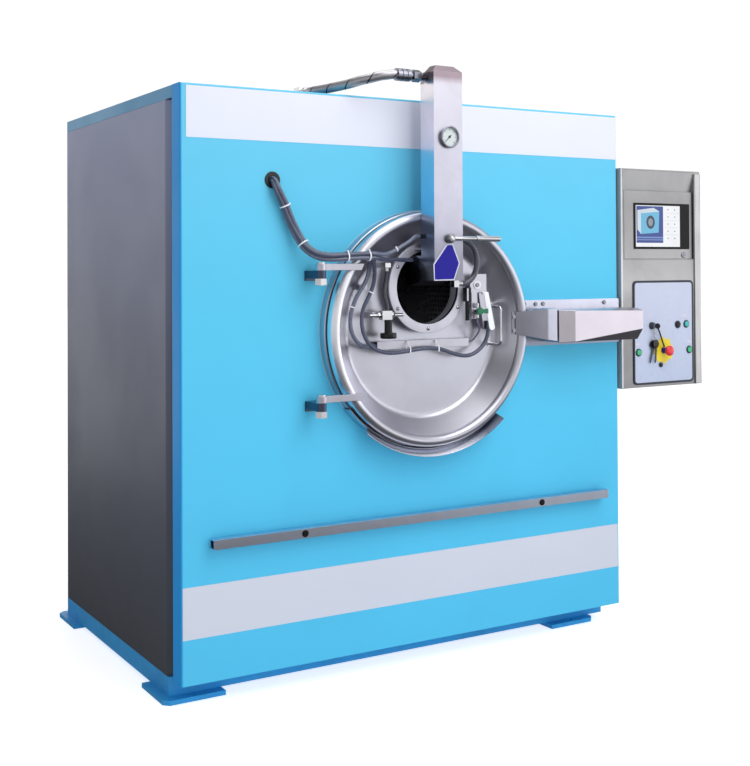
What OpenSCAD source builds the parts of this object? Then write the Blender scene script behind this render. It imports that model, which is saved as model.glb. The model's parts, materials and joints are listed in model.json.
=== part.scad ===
// Front-loading sample garment washing machine: a sheet-metal cabinet on a skid, a dished round door
// with a round porthole, a spray tower that rides on the door, a side lock and a control box.
// X runs right along the front panel, Y runs back and Z runs up, in millimetres.
// Most places are written as x from the panel's left edge, z from its lower edge, and "out", the
// distance in front of the panel's face.

/* [Cabinet] */
// Width of the front panel
panel_w = 1766; // [1740:1:1860]
// Height of the front panel
panel_h = 1850; // [1800:1:1950]
// Depth from the front panel's face to the back of the rear panel
body_d = 1183; // [1170:1:1300]
// How far the front panel's edges are folded back
slab_d = 70; // [60:1:80]
// Thickness of the cabinet's sheet metal
sheet_t = 3; // [2:0.5:4]
// Radius of the front panel's folded edges
edge_r = 8; // [6:1:12]
// Height of the coloured strip that the top panel shows above the side panels
cap_h = 40; // [30:1:60]
// Groove between the front panel's fold and the flat of a side panel
side_gap = 58; // [54:1:80]
// Depth of the side panels' slanted front lip
side_lip = 50; // [30:1:52]
// Height of the two pale bands
band_h = 160; // [120:1:170]
// Thickness of the bands
band_t = 1; // [0.5:0.5:2]
// Gap above the upper band
band_top_gap = 8; // [6:1:20]
// Left inset of the upper band
band_inset = 19; // [14:1:40]
// Height of the lower band's lower edge
lower_band_z = 140; // [100:1:180]

/* [Skid and feet] */
// Height of the skid's beams
frame_h = 60; // [50:1:80]
// Width of the skid's beams
beam_w = 80; // [60:1:100]
// Setback of the skid behind the panel's face
frame_setback = 108; // [90:1:120]
// Thickness of the foot plates
plate_t = 15; // [12:1:20]
// Side of a foot plate
plate_side = 205; // [180:1:220]
// Overhang of the foot plates beside and in front of the skid
plate_out = 32; // [25:1:40]
// Inset of the right foot plates from the panel's right edge
right_plate_inset = 66; // [40:1:80]
// Cut corner of a foot plate
plate_cut = 18; // [10:1:24]
// Radius of the anchor holes in the foot plates
anchor_r = 9; // [7:0.5:10]
// Distance of the anchor holes from the skid's front and back
anchor_gap = 18; // [14:1:20]
// Thickness of the cradle plates under the tub
cradle_t = 60; // [40:1:70]
// Width of the cradles
cradle_w = 760; // [600:1:800]

/* [Bumper rail] */
// Side of the square rail
rail_side = 30; // [24:1:36]
// Wall of the rail
rail_wall = 3; // [2:0.5:4]
// Gap between the rail and the panel
rail_gap = 12; // [8:1:16]
// Height of the rail's lower face
rail_z = 414; // [380:1:440]
// Inset of the rail's ends from the panel's edges
rail_inset = 90; // [60:1:120]
// Inset of the rail's bolts from the panel's left and right edges
rail_bolt_inset = 404; // [300:1:450]
// Radius of the rail's bolts
rail_bolt_r = 5; // [4:0.5:6]

/* [Tub and drum] */
// Height of the drum's axis above the panel's lower edge
axis_z = 1068; // [1040:1:1100]
// Outer radius of the tub
tub_r = 570; // [560:1:590]
// Wall of the tub
tub_wall = 6; // [4:0.5:8]
// Gap between the panel's face and the tub's front plate
tub_front_y = 64; // [56:1:68]
// Length of the tub
tub_len = 736; // [700:1:750]
// Outer radius of the tub's mouth
mouth_r = 402; // [398:1:403]
// Wall of the tub's mouth collar
mouth_wall = 17; // [12:1:18]
// How far the mouth collar stands out of the panel
mouth_out = 33; // [28:1:34]
// Gap round the collar in the panel
mouth_gap = 3; // [2:1:6]
// Gap between the drum and the tub
drum_gap = 50; // [40:1:70]
// Wall of the drum
drum_wall = 4; // [3:0.5:6]
// Gap between the tub's end plates and the drum
drum_end_gap = 44; // [40:1:50]
// Width of the drum's front lip
drum_lip = 120; // [100:1:130]
// Height of the lifters inside the drum
lifter_h = 90; // [60:1:110]
// Radius of the drain holes in the drum
drum_hole_r = 6; // [4:0.5:8]
// Radius of the drum's shaft
shaft_r = 40; // [30:1:45]
// Running clearance of shafts, pins and spindles
run_fit = 0.05; // [0.02:0.01:0.08]
// Length of the bearing housing
housing_len = 150; // [120:1:160]
// Width of each bearing
bearing_w = 30; // [24:1:36]
// Outer radius of the bearings
bearing_r = 62; // [55:1:70]

/* [Drive] */
// Radius of the drum's pulley
big_pulley_r = 300; // [280:1:320]
// Radius of the motor's pulley
small_pulley_r = 60; // [50:1:70]
// Width of the pulleys
pulley_w = 50; // [40:1:56]
// Gap between the bearing housing and the pulleys
pulley_gap = 30; // [20:1:36]
// Thickness of the belt
belt_t = 8; // [6:1:12]
// Sideways distance of the motor from the drum's axis
motor_dx = 517; // [500:1:560]
// Height of the motor's axis
motor_z = 260; // [240:1:280]
// Radius of the motor
motor_r = 130; // [110:1:135]
// Length of the motor
motor_len = 250; // [220:1:260]
// Radius of the motor's shaft
motor_shaft_r = 19; // [16:1:24]

/* [Door] */
// Outer radius of the door's rolled rim
rim_r = 398; // [392:1:400]
// Width of the rolled rim
rim_w = 38; // [32:1:42]
// How far the rim stands out of the panel
rim_out = 78; // [76:1:84]
// Radius of the dish's flat floor
floor_r = 302; // [296:1:310]
// Depth of the floor behind the panel's face
floor_in = 9; // [5:1:12]
// Sheet thickness of the door
dish_t = 4; // [3:0.5:5]
// Height of the rubber door seal
seal_h = 11.7; // [10:0.1:12]
// Height of the porthole's centre above the drum's axis
port_dz = 140; // [130:1:145]
// Inner radius of the porthole
port_r = 125; // [122:1:130]
// Width of the porthole's flange
port_flange = 31; // [28:1:34]
// How far the porthole's flange stands out of the panel
port_out = 33; // [30:1:36]
// Thickness of the porthole's flange
port_flange_t = 8; // [6:1:10]
// Wall of the porthole's neck
neck_wall = 6; // [4:1:8]
// Distance of the hinge pins from the drum's axis
hinge_dx = 441; // [430:1:450]
// How far the hinge pins stand out of the panel
hinge_out = 84; // [84:1:92]
// Distance of each hinge arm's middle above and below the drum's axis
hinge_dz = 211; // [200:1:220]
// Height of a hinge arm
arm_h = 22; // [18:1:26]
// Thickness of a hinge arm
arm_t = 12; // [10:1:14]
// Length of a hinge arm from its pin to its tip
arm_len = 158; // [150:1:170]
// Radius of the hinge pins
pin_r = 10; // [8:0.5:11]
// Height of a hinge knuckle
knuckle_h = 25; // [20:1:30]
// Diameter of the handle's rod
handle_d = 12; // [10:1:14]
// Height of the handle
handle_h = 134; // [120:1:150]
// How far the handle's bar stands out of the panel
handle_out = 60; // [50:1:66]

/* [Drip tray] */
// Gap between the mouth collar and the tray
tray_gap = 3; // [2:1:5]
// Sheet thickness of the tray
tray_t = 2; // [1.5:0.5:3]
// How far the tray's trough stands out of the panel
tray_out = 50; // [44:1:54]
// How far the tray's lip flares outward and forward
tray_lip = [22, 28];

/* [Spray tower] */
// Width of the tower
tower_w = 114; // [104:1:116]
// Depth of the tower
tower_d = 80; // [74:1:90]
// Sheet thickness of the tower
tower_wall = 3; // [2:0.5:4]
// Gap between the door's rim and the tower
tower_gap = 2; // [1:0.5:4]
// Height of the tower's lower end above the porthole's centre
tower_foot_dz = 24; // [20:1:30]
// Height of the tower's eaves above the panel's top edge
tower_rise = 78; // [70:1:90]
// Depth of the notch behind the tower's top
notch_d = 25; // [20:1:30]
// Height of the notch
notch_h = 38; // [36:1:46]
// Height of the hipped roof
roof_h = 21; // [16:1:26]
// Inset of the roof's flat top
roof_in = 21; // [16:1:24]
// Sheet thickness of the sign plate
sign_t = 2; // [1:0.5:3]
// Height of the gauge's centre below the eaves
gauge_drop = 219; // [200:1:240]
// Radius of the gauge
gauge_r = 37; // [32:1:42]
// Depth of the gauge
gauge_h = 12; // [10:1:14]
// Length of the valve lever
lever_len = 200; // [180:1:220]
// Diameter of the valve lever
lever_d = 15; // [12:1:16]

/* [Lock] */
// Thickness of the lock's base plate
lock_plate_t = 8; // [6:1:10]
// Height of the lock's base plate
lock_plate_h = 165; // [150:1:180]
// Gap between the door's latch cover and the lock housing
lock_gap = 8; // [7:1:12]
// Distance of the lock housing's left wall from the drum's axis
lock_dx = 507; // [500:1:515]
// How far the latch cover's flat stands out of the panel
latch_out = 110; // [106:1:120]
// How far the lock housing stands out of the panel
lock_out = 140; // [135:1:150]
// Radius of the lock bolt
bolt_r = 12; // [10:1:14]
// Length of the lock bolt
bolt_len = 120; // [100:1:140]
// How far the lock bolt stands out of the panel
bolt_out = 60; // [50:1:64]

/* [Control box] */
// Width of the control box
box_w = 418; // [400:1:440]
// Height of the control box
box_h = 840; // [820:1:860]
// Depth of the control box
box_d = 200; // [160:1:240]
// Height of the control box's lower edge
box_z = 810; // [780:1:840]
// Gap between the cabinet and the control box
box_gap = 6; // [4:1:10]
// How far the control box stands out of the panel
box_out = 12; // [10:1:16]
// Sheet thickness of the control box
box_wall = 2; // [1.5:0.5:3]
// Depth of the recess that holds the screen
recess_d = 14; // [10:1:18]
// Height of the recess's lower edge above the box's lower edge
recess_z = 493; // [480:1:500]
// Height of the screen door
screen_door_h = 262; // [250:1:266]
// Width of the screen door
screen_door_w = 360; // [340:1:366]
// Height of the visor's slope above the screen door
visor_h = 76; // [60:1:80]
// Width of the display
display_w = 292; // [280:1:300]
// Height of the display
display_h = 178; // [170:1:190]
// Width of the button plate
plate_w = 300; // [290:1:310]
// Height of the button plate
plate_h = 384; // [370:1:390]
// Width of the gasket round the button plate
gasket_w = 8; // [6:1:10]
// Outer radius of a button's collar
collar_r = 15; // [14:0.5:17]
// Radius of a button's cap
button_r = 11; // [9:0.5:12]
// Travel of a button
button_travel = 3; // [2:0.5:4]
// Radius of the emergency stop's disc
estop_disc_r = 45; // [40:1:48]
// Radius of the emergency stop's mushroom head
estop_r = 20; // [17:1:22]

/* [Pipes and hoses] */
// Radius of the drain pipe
drain_r = 38; // [30:1:42]
// Radius of the two water inlets
inlet_r = 17; // [13:1:20]
// How far the pipes stand out of the rear panel
pipe_stub = 60; // [50:1:80]
// Radius of the cable hole in the panel
cable_hole_r = 21; // [19:1:24]
// Radius of the cable bundle
bundle_r = 14; // [12:1:15]
// Radius of the tower's hose
hose_r = 16; // [14:1:17]

/* [Hidden] */
$fn = 64;
// Small gap between pieces that only touch
touch = 0.3;
// Overshoot of a cutting tool past the face it cuts
cut = 1;

axis_x = panel_w / 2;
side_y = slab_d + side_gap;
side_top = panel_h - cap_h;
floor_z = -frame_h - plate_t;

plate_xs = [4 - plate_out, panel_w - right_plate_inset - plate_side];
plate_ys = [frame_setback - plate_out - 6, body_d + plate_out - plate_side];
anchor_xs = [for (x = plate_xs) x + plate_side / 2];
anchor_ys = [frame_setback - anchor_gap, body_d + anchor_gap];
plate_bolt_inset = 20;
plate_bolt_r = 12;
plate_bolt_h = 10;

cradle_ys = [tub_front_y + 186, tub_front_y + 556];
cradle_top = axis_z - 0.82 * tub_r;
motor_tray_t = 12;

rail_out = rail_gap + rail_side;
rail_bolt_xs = [rail_bolt_inset, panel_w - rail_bolt_inset];
rail_bolt_z = rail_z + rail_side / 2;
standoff_r = 11;

front_plate_t = 6;
drum_r = tub_r - drum_gap;
tub_back_y = tub_front_y + tub_len;
drum_front_y = tub_front_y + drum_end_gap;
drum_back_y = tub_back_y - tub_wall - drum_end_gap;
mouth_in_r = mouth_r - mouth_wall;
drum_back_t = 8;
housing_back_y = tub_back_y + housing_len;
pulley_y = housing_back_y + pulley_gap;
shaft_end_y = pulley_y + pulley_w + 10;
motor_x = axis_x + motor_dx;
motor_back_y = pulley_y - 20;
motor_socket = 55;

drain_z = 200;
drain_y = tub_front_y + 636;
inlet_xs = [400, 480];
inlet_z = panel_h - 350;
inlet_body = [50, 60, 40];
roof_fitting_x = axis_x - 333;
roof_fitting_y = 205;
roof_hose_z = panel_h + 30;

roll_r = rim_w / 2;
roll_out = rim_out - roll_r;
roll_mid_r = rim_r - roll_r;
rim_in_r = rim_r - rim_w;
seal_out = mouth_out + touch;
lip_out = seal_out + seal_h;
floor_out = -floor_in;
on_floor = floor_out + touch;
port_z = axis_z + port_dz;
port_flange_r = port_r + port_flange;
port_screw_r = port_r + port_flange / 2;

hinge_x = axis_x - hinge_dx;
hinge_zs = [axis_z - hinge_dz, axis_z + hinge_dz];
arm_out = rim_out + touch;
hinge_gap = 0.5;
knuckle_r = pin_r + 6;
hinge_plate_t = 8;
hinge_bolt_dx = 30;
hinge_bolt_dz = 9;
pin_head_h = 5;
pin_nut_h = 20;

handle_x = axis_x + floor_r - 17;
handle_z = axis_z + 3;
handle_bend = 14;

tower_back = rim_out + tower_gap;
tower_front = tower_back + tower_d;
tower_xs = [axis_x - tower_w / 2, axis_x + tower_w / 2];
tower_foot = port_z + tower_foot_dz;
eaves_z = panel_h + tower_rise;
notch_z = eaves_z - notch_h;
notch_out = tower_back + notch_d;
chute_in = 20;
chute_zs = [port_z + 7, port_z + 107];
gauge_x = axis_x + 2;
gauge_z = eaves_z - gauge_drop;
gauge_wall = 4;
spindle_r = 2;
lever_x = axis_x + 3;
lever_z = tower_foot + 140;
lever_out = tower_front + 11;
stem_r = 6;
grip_r = 10;
fitting_z = eaves_z - 13;
fitting_out = tower_back + notch_d / 2;
fitting_x = tower_xs[0] - 105;
loop_out = tower_back + tower_d / 2;
loop_dzs = [tower_foot - 11 - axis_z, tower_foot + 137 - axis_z];

ear_out = 54;
ear_outs = [ear_out, ear_out + 4];
ear_xs = [158, 227];
ear_zs = [120, 184];
stem_low = 29;
ear_bolt = [187, 146];
tab_screw_zs = [axis_z - 15, axis_z + 33];
clamp = [-170, 50, 50];
shaft_xs = [-243, -113];
tray_xs = [-195, 177];
tray_zs = [-67, -39];
tray_front = 20;
sampling = [179, 56];

lock_x = axis_x + lock_dx;
lock_end = panel_w - 2;
lock_plate_x = axis_x + rim_r + 22;
lock_plate_z = axis_z - 78;
lock_wall = 3;
bolt_guide = 60;
bolt_z = axis_z - 2;
bolt_head_r = bolt_r + 5;
latch_x = axis_x + 333;
latch_crest = axis_x + 459;
latch_end = lock_x - lock_gap;
latch_back = mouth_out + 3;
keeper_w = 30;
keeper_hole = bolt_r + 1;
tab_x = latch_x - 14;
lock_bolt_zs = [lock_plate_z + 11, lock_plate_z + lock_plate_h - 14];
lock_bolts = [
    [lock_plate_x + 10, lock_bolt_zs[0]], [lock_plate_x + 10, lock_bolt_zs[1]],
    [lock_plate_x + 62, lock_bolt_zs[1]], [lock_plate_x + 96, lock_bolt_zs[1]],
    [lock_plate_x + 388, lock_bolt_zs[1]]
];
hinge_bolts = [
    for (z = hinge_zs, s = [-1, 1])
        [hinge_x + hinge_bolt_dx, z - arm_h / 2 - hinge_gap - knuckle_h / 2 + s * hinge_bolt_dz]
];
bolt_shank_r = 4;
bolt_slack = 0.2;
small_head_r = 7;
small_head_h = 5;
shank_in = 12;

box_x = panel_w + box_gap;
box_end = box_x + box_w;
box_top = box_z + box_h;
recess_out = box_out - recess_d;
recess_xs = [box_x + 16, box_end - 34];
recess_low = box_z + recess_z;
screen_z = recess_low + 2;
screen_top = screen_z + screen_door_h;
screen_door_t = 6;
screen_pivot_x = recess_xs[0] + 9;
screen_pivot_out = recess_out + 5;
screen_edge_r = 4.5;
screen_pin_r = 3;
screen_end = screen_pivot_x - screen_edge_r + screen_door_w;
screen_back = screen_pivot_out - screen_door_t / 2;
screen_face = screen_pivot_out + screen_door_t / 2;
window_rim = 8;
display_x = box_x + 73;
display_z = screen_z + 37;
display_t = 3;
cam_x = box_x + 334;
cam_z = screen_z + 14;
cam_r = 9;
plate_x = box_x + 68;
plate_z = box_z + 18;
button_plate_t = 3;
plate_face = box_out + button_plate_t;
collar_h = 4;
barrel_wall = 2;
barrel_back = -4;
button_stand = 7;
estop = [plate_x + 145, plate_z + 121];
estop_neck_r = 12;
estop_out = plate_face + 45;
key = [plate_x + 85, plate_z + 218];
key_r = 9;
black = [plate_x + 222, plate_z + 219];
teal = [plate_x + 268, plate_z + 220];
green_left = [plate_x + 17, plate_z + 117];
green_right = [plate_x + 283, plate_z + 119];
// Each control's place and the radius of its bore
controls = [
    [key, key_r], [black, button_r], [teal, button_r], [green_left, button_r],
    [green_right, button_r], [estop, estop_neck_r]
];

// The middle of the whole object's base, where the origin lies
front_reach = lever_out + grip_r;
back_reach = body_d + pipe_stub;
origin_x = (plate_xs[0] + box_end) / 2;
origin_y = (back_reach - front_reach) / 2;

// Routes of the cords and hoses, chosen by hand: x, out and z, most of them from the drum's axis
bundle_route = from_axis([
    [-571, -12, 490], [-571, 8, 490], [-567, 22, 470], [-553, 24, 437], [-538, 24, 406],
    [-521, 26, 362], [-499, 34, 314], [-479, 50, 276], [-449, 70, 251], [-411, 88, 243],
    [-355, 98, 245], [-303, 98, 247], [-263, 98, 247]
]);
hose_route = [
    [fitting_x - 0.5, fitting_out, fitting_z], [fitting_x - 10, fitting_out, fitting_z],
    for (p = [
        [-189, 90, 62], [-213, 83, 58], [-238, 67, 51], [-259, 44, 46], [-276, 14, 40], [-293, -24, 35],
        [-309, -68, 32], [-323, -116, 30], [-333, -164, 30]
    ]) [axis_x + p[0], p[1], panel_h + p[2]],
    [roof_fitting_x, 0.5 - roof_fitting_y, roof_hose_z]
];
branch_up = from_axis([
    [-262.5, 105, 254], [-248, 105, 254], [-218, 98, 252], [-178, 92, 260], [-138, 89, 280], [-101, 88, 301],
    [-85, 88, 312], [-tower_w / 2 - 12.5, 88, 312]
]);
branch_chute = from_axis([
    [-262.5, 105, 240], [-248, 105, 240], [-228, 94, 237], [-191, 78, 235], [-153, 61, 235], [-115, 46, 234],
    [-85, 42, 233], [-tower_w / 2 - 12.5, 42, 233]
]);
branch_left = from_axis([
    [-262.5, 91, 254], [-256, 91, 254], [-247, 76, 248], [-241, 56, 230], [-240, 44, 200], [-249, 38, 164],
    [-275, 36, 124], [-296, 35, 82], [-306, 34, 37], [-300, 34, -5], [-281, 32, -34],
    [-251, 26, -52], [-221, 14, -54], [-183, 6, -53]
]);
branch_tray = from_axis([
    [-262.5, 91, 240], [-255, 91, 240], [-244, 82, 226], [-233, 68, 206], [-226, 56, 178], [-228, 48, 147],
    [-243, 44, 110], [-261, 42, 72], [-267, 42, 32], [-261, 44, -8], [-239, 46, -46],
    [-207, 44, -66], [-163, 40, -76], [-77, 38, -72], [37, 38, -70], [97, 38, -88],
    [162, 38, -98], [213, 38, -76], [243, 38, -34], [247, 38, 20]
]);
loop_route = from_axis([
    [71.5, loop_out, loop_dzs[1]], [82, loop_out, loop_dzs[1]], [100, loop_out, 295], [122, loop_out, 280],
    [137, loop_out, 256], [142, loop_out, 226], [136, loop_out, 194], [119, loop_out, 169],
    [99, loop_out, 156], [88, loop_out, loop_dzs[0]], [78.5, loop_out, loop_dzs[0]]
]);
dosing_route = from_axis([
    [-171, 42, 195.5], [-171, 42, 185], [-174, 43, 170], [-181, 45, 140], [-180, 48, 104], [-174, 50, 80],
    [-174, 50, 65.5]
]);
valve_route = from_axis([
    [177.5, 8, -53], [184, 8, -53], [196, 12, -49], [204, 22, -36], [205, 40, -18], [197, 56, 0],
    [183, 67, 12], [179, 69, 23], [179, 69, 31.5]
]);
branch_r = 5.5;
loop_r = 10;
dosing_r = 7;
valve_hose_r = 3;

// Helpers

module place() translate([-origin_x, -origin_y, -floor_z]) children();

// Box from ranges of x, out and z
module block(x, out, z)
    translate([x[0], -out[1], z[0]]) cube([x[1] - x[0], out[1] - out[0], z[1] - z[0]]);

// Cylinders along the panel's normal, upright, and along the panel
module rod_out(x, z, out, r)
    translate([x, -out[0], z]) rotate([90, 0, 0]) cylinder(h = out[1] - out[0], r = r);

module rod_up(x, out, z, r)
    translate([x, -out, z[0]]) cylinder(h = z[1] - z[0], r = r);

module rod_across(x, out, z, r)
    translate([x[0], -out, z]) rotate([0, 90, 0]) cylinder(h = x[1] - x[0], r = r);

// Profile of radius and out, turned about the panel's normal through x and z
module turned(x, z, from = 0, to = 360)
    translate([x, 0, z]) rotate([90, 0, 0]) rotate([0, 0, from])
        rotate_extrude(angle = to - from) children();

// Rectangle from ranges of radius and out, for a turned profile
module ring(r, out) translate([r[0], out[0]]) square([r[1] - r[0], out[1] - out[0]]);

// Outline of x and z, as thick as a range of out
module facing(out)
    translate([0, -out[0], 0]) rotate([90, 0, 0]) linear_extrude(out[1] - out[0]) children();

// Outline of out and z, carried along a range of x
module along(x)
    translate([x[1], 0, 0]) rotate([90, 0, -90]) linear_extrude(x[1] - x[0]) children();

// Outline of x and out, carried up a range of z
module upright(z)
    translate([0, 0, z[0]]) mirror([0, 1, 0]) linear_extrude(z[1] - z[0]) children();

// Rectangle with round corners
module rounded(size, r) {
    translate([r, 0]) square([size[0] - 2 * r, size[1]]);
    translate([0, r]) square([size[0], size[1] - 2 * r]);
    for (x = [r, size[0] - r], y = [r, size[1] - r]) translate([x, y]) circle(r);
}

module at(place) translate([place[0], 0, place[1]]) children();

module on_door() at([axis_x, axis_z]) children();

function from_axis(route) = [for (p = route) [axis_x + p[0], p[1], axis_z + p[2]]];
function unit(v) = v / norm(v);
function tangent(p, i) = unit(p[min(i + 1, len(p) - 1)] - p[max(i - 1, 0)]);
function square_to(v, t) = unit(v - (v * t) * t);
// A normal at each point of a route, carried along it without twist
function normals(p) = [
    for (i = 0, n = square_to([0.3, 0.5, 0.8], tangent(p, 0)); i < len(p);
        i = i + 1, n = i < len(p) ? square_to(n, tangent(p, i)) : n) n
];

// Round cord of radius r along a route of x, out and z
module cord(route, r, sides = 8) {
    p = [for (q = route) [q[0], -q[1], q[2]]];
    n = normals(p);
    last = len(p) - 1;
    rings = [
        for (i = [0:last], k = [0:sides - 1])
            let (a = 360 * k / sides, t = tangent(p, i))
                p[i] + r * (cos(a) * n[i] + sin(a) * cross(t, n[i]))
    ];
    walls = [
        for (i = [0:last - 1], k = [0:sides - 1])
            let (q = (k + 1) % sides, a = i * sides, b = a + sides)
                each [[a + k, b + q, b + k], [a + k, a + q, b + q]]
    ];
    far = last * sides;
    caps = [for (k = [1:sides - 2]) each [[0, k + 1, k], [far, far + k, far + k + 1]]];
    polyhedron(points = rings, faces = concat(walls, caps), convexity = 8);
}

// Cabinet

// Foot plate whose outer corner is cut off
module foot_plate(i, j) {
    corner = [plate_xs[i] + i * plate_side, plate_ys[j] + j * plate_side];
    difference() {
        translate([plate_xs[i], plate_ys[j], floor_z]) cube([plate_side, plate_side, plate_t]);
        translate([corner[0], corner[1], floor_z + plate_t / 2]) rotate(45)
            cube([plate_cut * sqrt(2), plate_cut * sqrt(2), plate_t + 2 * cut], center = true);
        translate([anchor_xs[i], anchor_ys[j], floor_z - cut])
            cylinder(h = plate_t + 2 * cut, r = anchor_r);
    }
}

module base_frame() place() color("steelblue") {
    inner_y = [frame_setback + beam_w, body_d - beam_w];
    difference() {
        block([0, panel_w], [-body_d, -frame_setback], [-frame_h, 0]);
        block([beam_w, panel_w - beam_w], -[inner_y[1], inner_y[0]], [-frame_h - cut, cut]);
    }
    for (y = cradle_ys) {
        block([beam_w, panel_w - beam_w], [-y - beam_w / 2, beam_w / 2 - y], [-frame_h, 0]);
        difference() {
            block([axis_x - cradle_w / 2, axis_x + cradle_w / 2],
                [-y - cradle_t / 2, cradle_t / 2 - y], [0, cradle_top]);
            rod_out(axis_x, axis_z, [-y - cradle_t, cradle_t - y], tub_r + touch);
        }
    }
    block([motor_x - 150, panel_w - beam_w], [-inner_y[1], -cradle_ys[1]], [-motor_tray_t, 0]);
    for (i = [0, 1], j = [0, 1]) foot_plate(i, j);
}

module front_panel() place() color("skyblue") difference() {
    flange = side_gap + 2 * sheet_t;
    intersection() {
        linear_extrude(panel_h) {
            translate([edge_r, 0]) square([panel_w - 2 * edge_r, slab_d]);
            translate([0, edge_r]) square([panel_w, slab_d - edge_r]);
            for (x = [edge_r, panel_w - edge_r]) translate([x, edge_r]) circle(edge_r);
        }
        along([0, panel_w]) {
            ring([-slab_d, 0], [0, panel_h - edge_r]);
            ring([-slab_d, -edge_r], [0, panel_h]);
            translate([-edge_r, panel_h - edge_r]) circle(edge_r);
        }
    }
    block([sheet_t, panel_w - sheet_t], [sheet_t - slab_d, -sheet_t], [sheet_t, panel_h - sheet_t]);
    block([flange, panel_w - flange], [-slab_d - cut, -sheet_t - cut], [flange / 2, panel_h - flange / 2]);
    rod_out(axis_x, axis_z, [-sheet_t - cut, cut], mouth_r + mouth_gap);
    rod_out(bundle_route[0][0], bundle_route[0][2], [-sheet_t - cut, cut], cable_hole_r);
    for (x = rail_bolt_xs) rod_out(x, rail_bolt_z, [-sheet_t - cut, cut], rail_bolt_r + bolt_slack);
    for (b = concat(lock_bolts, hinge_bolts))
        rod_out(b[0], b[1], [-sheet_t - cut, cut], bolt_shank_r + bolt_slack);
}

// Side panel with its slanted lip, standing on the skid at the left
module side_panel() linear_extrude(side_top) polygon([
    [0, side_y], [side_gap, slab_d], [side_gap + sqrt(2) * sheet_t, slab_d],
    [sheet_t, side_y + (sqrt(2) - 1) * sheet_t], [sheet_t, body_d], [0, body_d]
]);

module side_panel_left() place() color("gray") side_panel();

module side_panel_right() place() color("gray") translate([panel_w, 0, 0]) mirror([1, 0, 0]) side_panel();

module rear_panel() place() color("gray") {
    slot = [300, 8];
    slot_step = 24;
    difference() {
        block([sheet_t, panel_w - sheet_t], [-body_d, sheet_t - body_d], [0, side_top]);
        rod_out(axis_x, drain_z, [-body_d - cut, sheet_t - body_d + cut], drain_r + touch);
        for (x = inlet_xs) rod_out(x, inlet_z, [-body_d - cut, sheet_t - body_d + cut], inlet_r + touch);
        for (i = [0:7])
            block([motor_x - slot[0] / 2, motor_x + slot[0] / 2], [-body_d - cut, sheet_t - body_d + cut],
                [motor_z + i * slot_step, motor_z + i * slot_step + slot[1]]);
    }
}

module top_panel() place() color("steelblue") difference() {
    block([0, panel_w], [-body_d, -slab_d], [side_top, panel_h]);
    block([sheet_t, panel_w - sheet_t], [sheet_t - body_d, -slab_d - sheet_t],
        [side_top - cut, panel_h - sheet_t]);
}

module panel_bands() place() color("white") {
    top = panel_h - band_top_gap;
    block([band_inset, panel_w - 3], [0, band_t], [top - band_h, top]);
    block([4, panel_w - 9], [0, band_t], [lower_band_z, lower_band_z + band_h]);
}

module bumper_rail() place() color("silver") difference() {
    ends = [rail_inset, panel_w - rail_inset];
    union() {
        block(ends, [rail_gap, rail_out], [rail_z, rail_z + rail_side]);
        for (x = rail_bolt_xs) rod_out(x, rail_bolt_z, [0, rail_gap + rail_wall], standoff_r);
    }
    block([ends[0] - cut, ends[1] + cut], [rail_gap + rail_wall, rail_out - rail_wall],
        [rail_z + rail_wall, rail_z + rail_side - rail_wall]);
    for (x = rail_bolt_xs) rod_out(x, rail_bolt_z, [-cut, rail_out + cut], rail_bolt_r + bolt_slack);
}

// Hexagon bolt into the panel, its head on a face that stands out by face
module panel_bolt(x, z, face, r, head_r) {
    rod_out(x, z, [-shank_in, face], r);
    rod_out(x, z, [face, face + small_head_h], head_r, $fn = 6);
}

module panel_bolts() place() color("silver") {
    for (x = rail_bolt_xs) panel_bolt(x, rail_bolt_z, rail_out, rail_bolt_r, rail_bolt_r + 4);
    for (b = lock_bolts) panel_bolt(b[0], b[1], lock_plate_t, bolt_shank_r, small_head_r);
    for (b = hinge_bolts) panel_bolt(b[0], b[1], hinge_plate_t, bolt_shank_r, small_head_r);
    for (i = [0, 1], j = [0, 1])
        translate([
            plate_xs[i] + i * plate_side + (1 - 2 * i) * plate_bolt_inset,
            plate_ys[j] + j * plate_side + (1 - 2 * j) * plate_bolt_inset, -frame_h
        ]) cylinder(h = plate_bolt_h, r = plate_bolt_r, $fn = 6);
}

module cable_grommet() place() color("dimgray") turned(bundle_route[0][0], bundle_route[0][2]) {
    bore = bundle_r + 2 * touch;
    ring([bore, cable_hole_r - touch], [-sheet_t - 3, 0]);
    ring([bore, cable_hole_r + 6], [0, 3]);
}

// Tub, drum and drive

module tub_shell() place() color("silver") difference() {
    turned(axis_x, axis_z) difference() {
        ring([0, tub_r], [-tub_back_y, -tub_front_y - front_plate_t]);
        ring([-cut, tub_r - tub_wall], [tub_wall - tub_back_y, 0]);
        ring([-cut, shaft_r + 15], [-tub_back_y - cut, 0]);
    }
    rod_up(axis_x, -drain_y, [axis_z - tub_r - cut, axis_z - tub_r + 2 * tub_wall], drain_r - 4);
}

module tub_front() place() color("gainsboro") turned(axis_x, axis_z) {
    round_r = 4;
    ring([mouth_in_r, tub_r], [-tub_front_y - front_plate_t, -tub_front_y]);
    ring([mouth_in_r, mouth_r], [-tub_front_y - front_plate_t, mouth_out - round_r]);
    ring([mouth_in_r + round_r, mouth_r - round_r], [0, mouth_out]);
    for (r = [mouth_in_r + round_r, mouth_r - round_r]) translate([r, mouth_out - round_r]) circle(round_r);
}

module drip_tray() place() color("silver") {
    r = [mouth_r + tray_gap, mouth_r + tray_gap + tray_t];
    turned(axis_x, axis_z, 219, 311.6) ring(r, [0, tray_out]);
    turned(axis_x, axis_z, 231, 311.6) polygon([
        [r[0], tray_out - tray_t], [r[1], tray_out - tray_t], [r[1] + tray_lip[0], tray_out + tray_lip[1]],
        [r[0] + tray_lip[0], tray_out + tray_lip[1]]
    ]);
}

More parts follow.
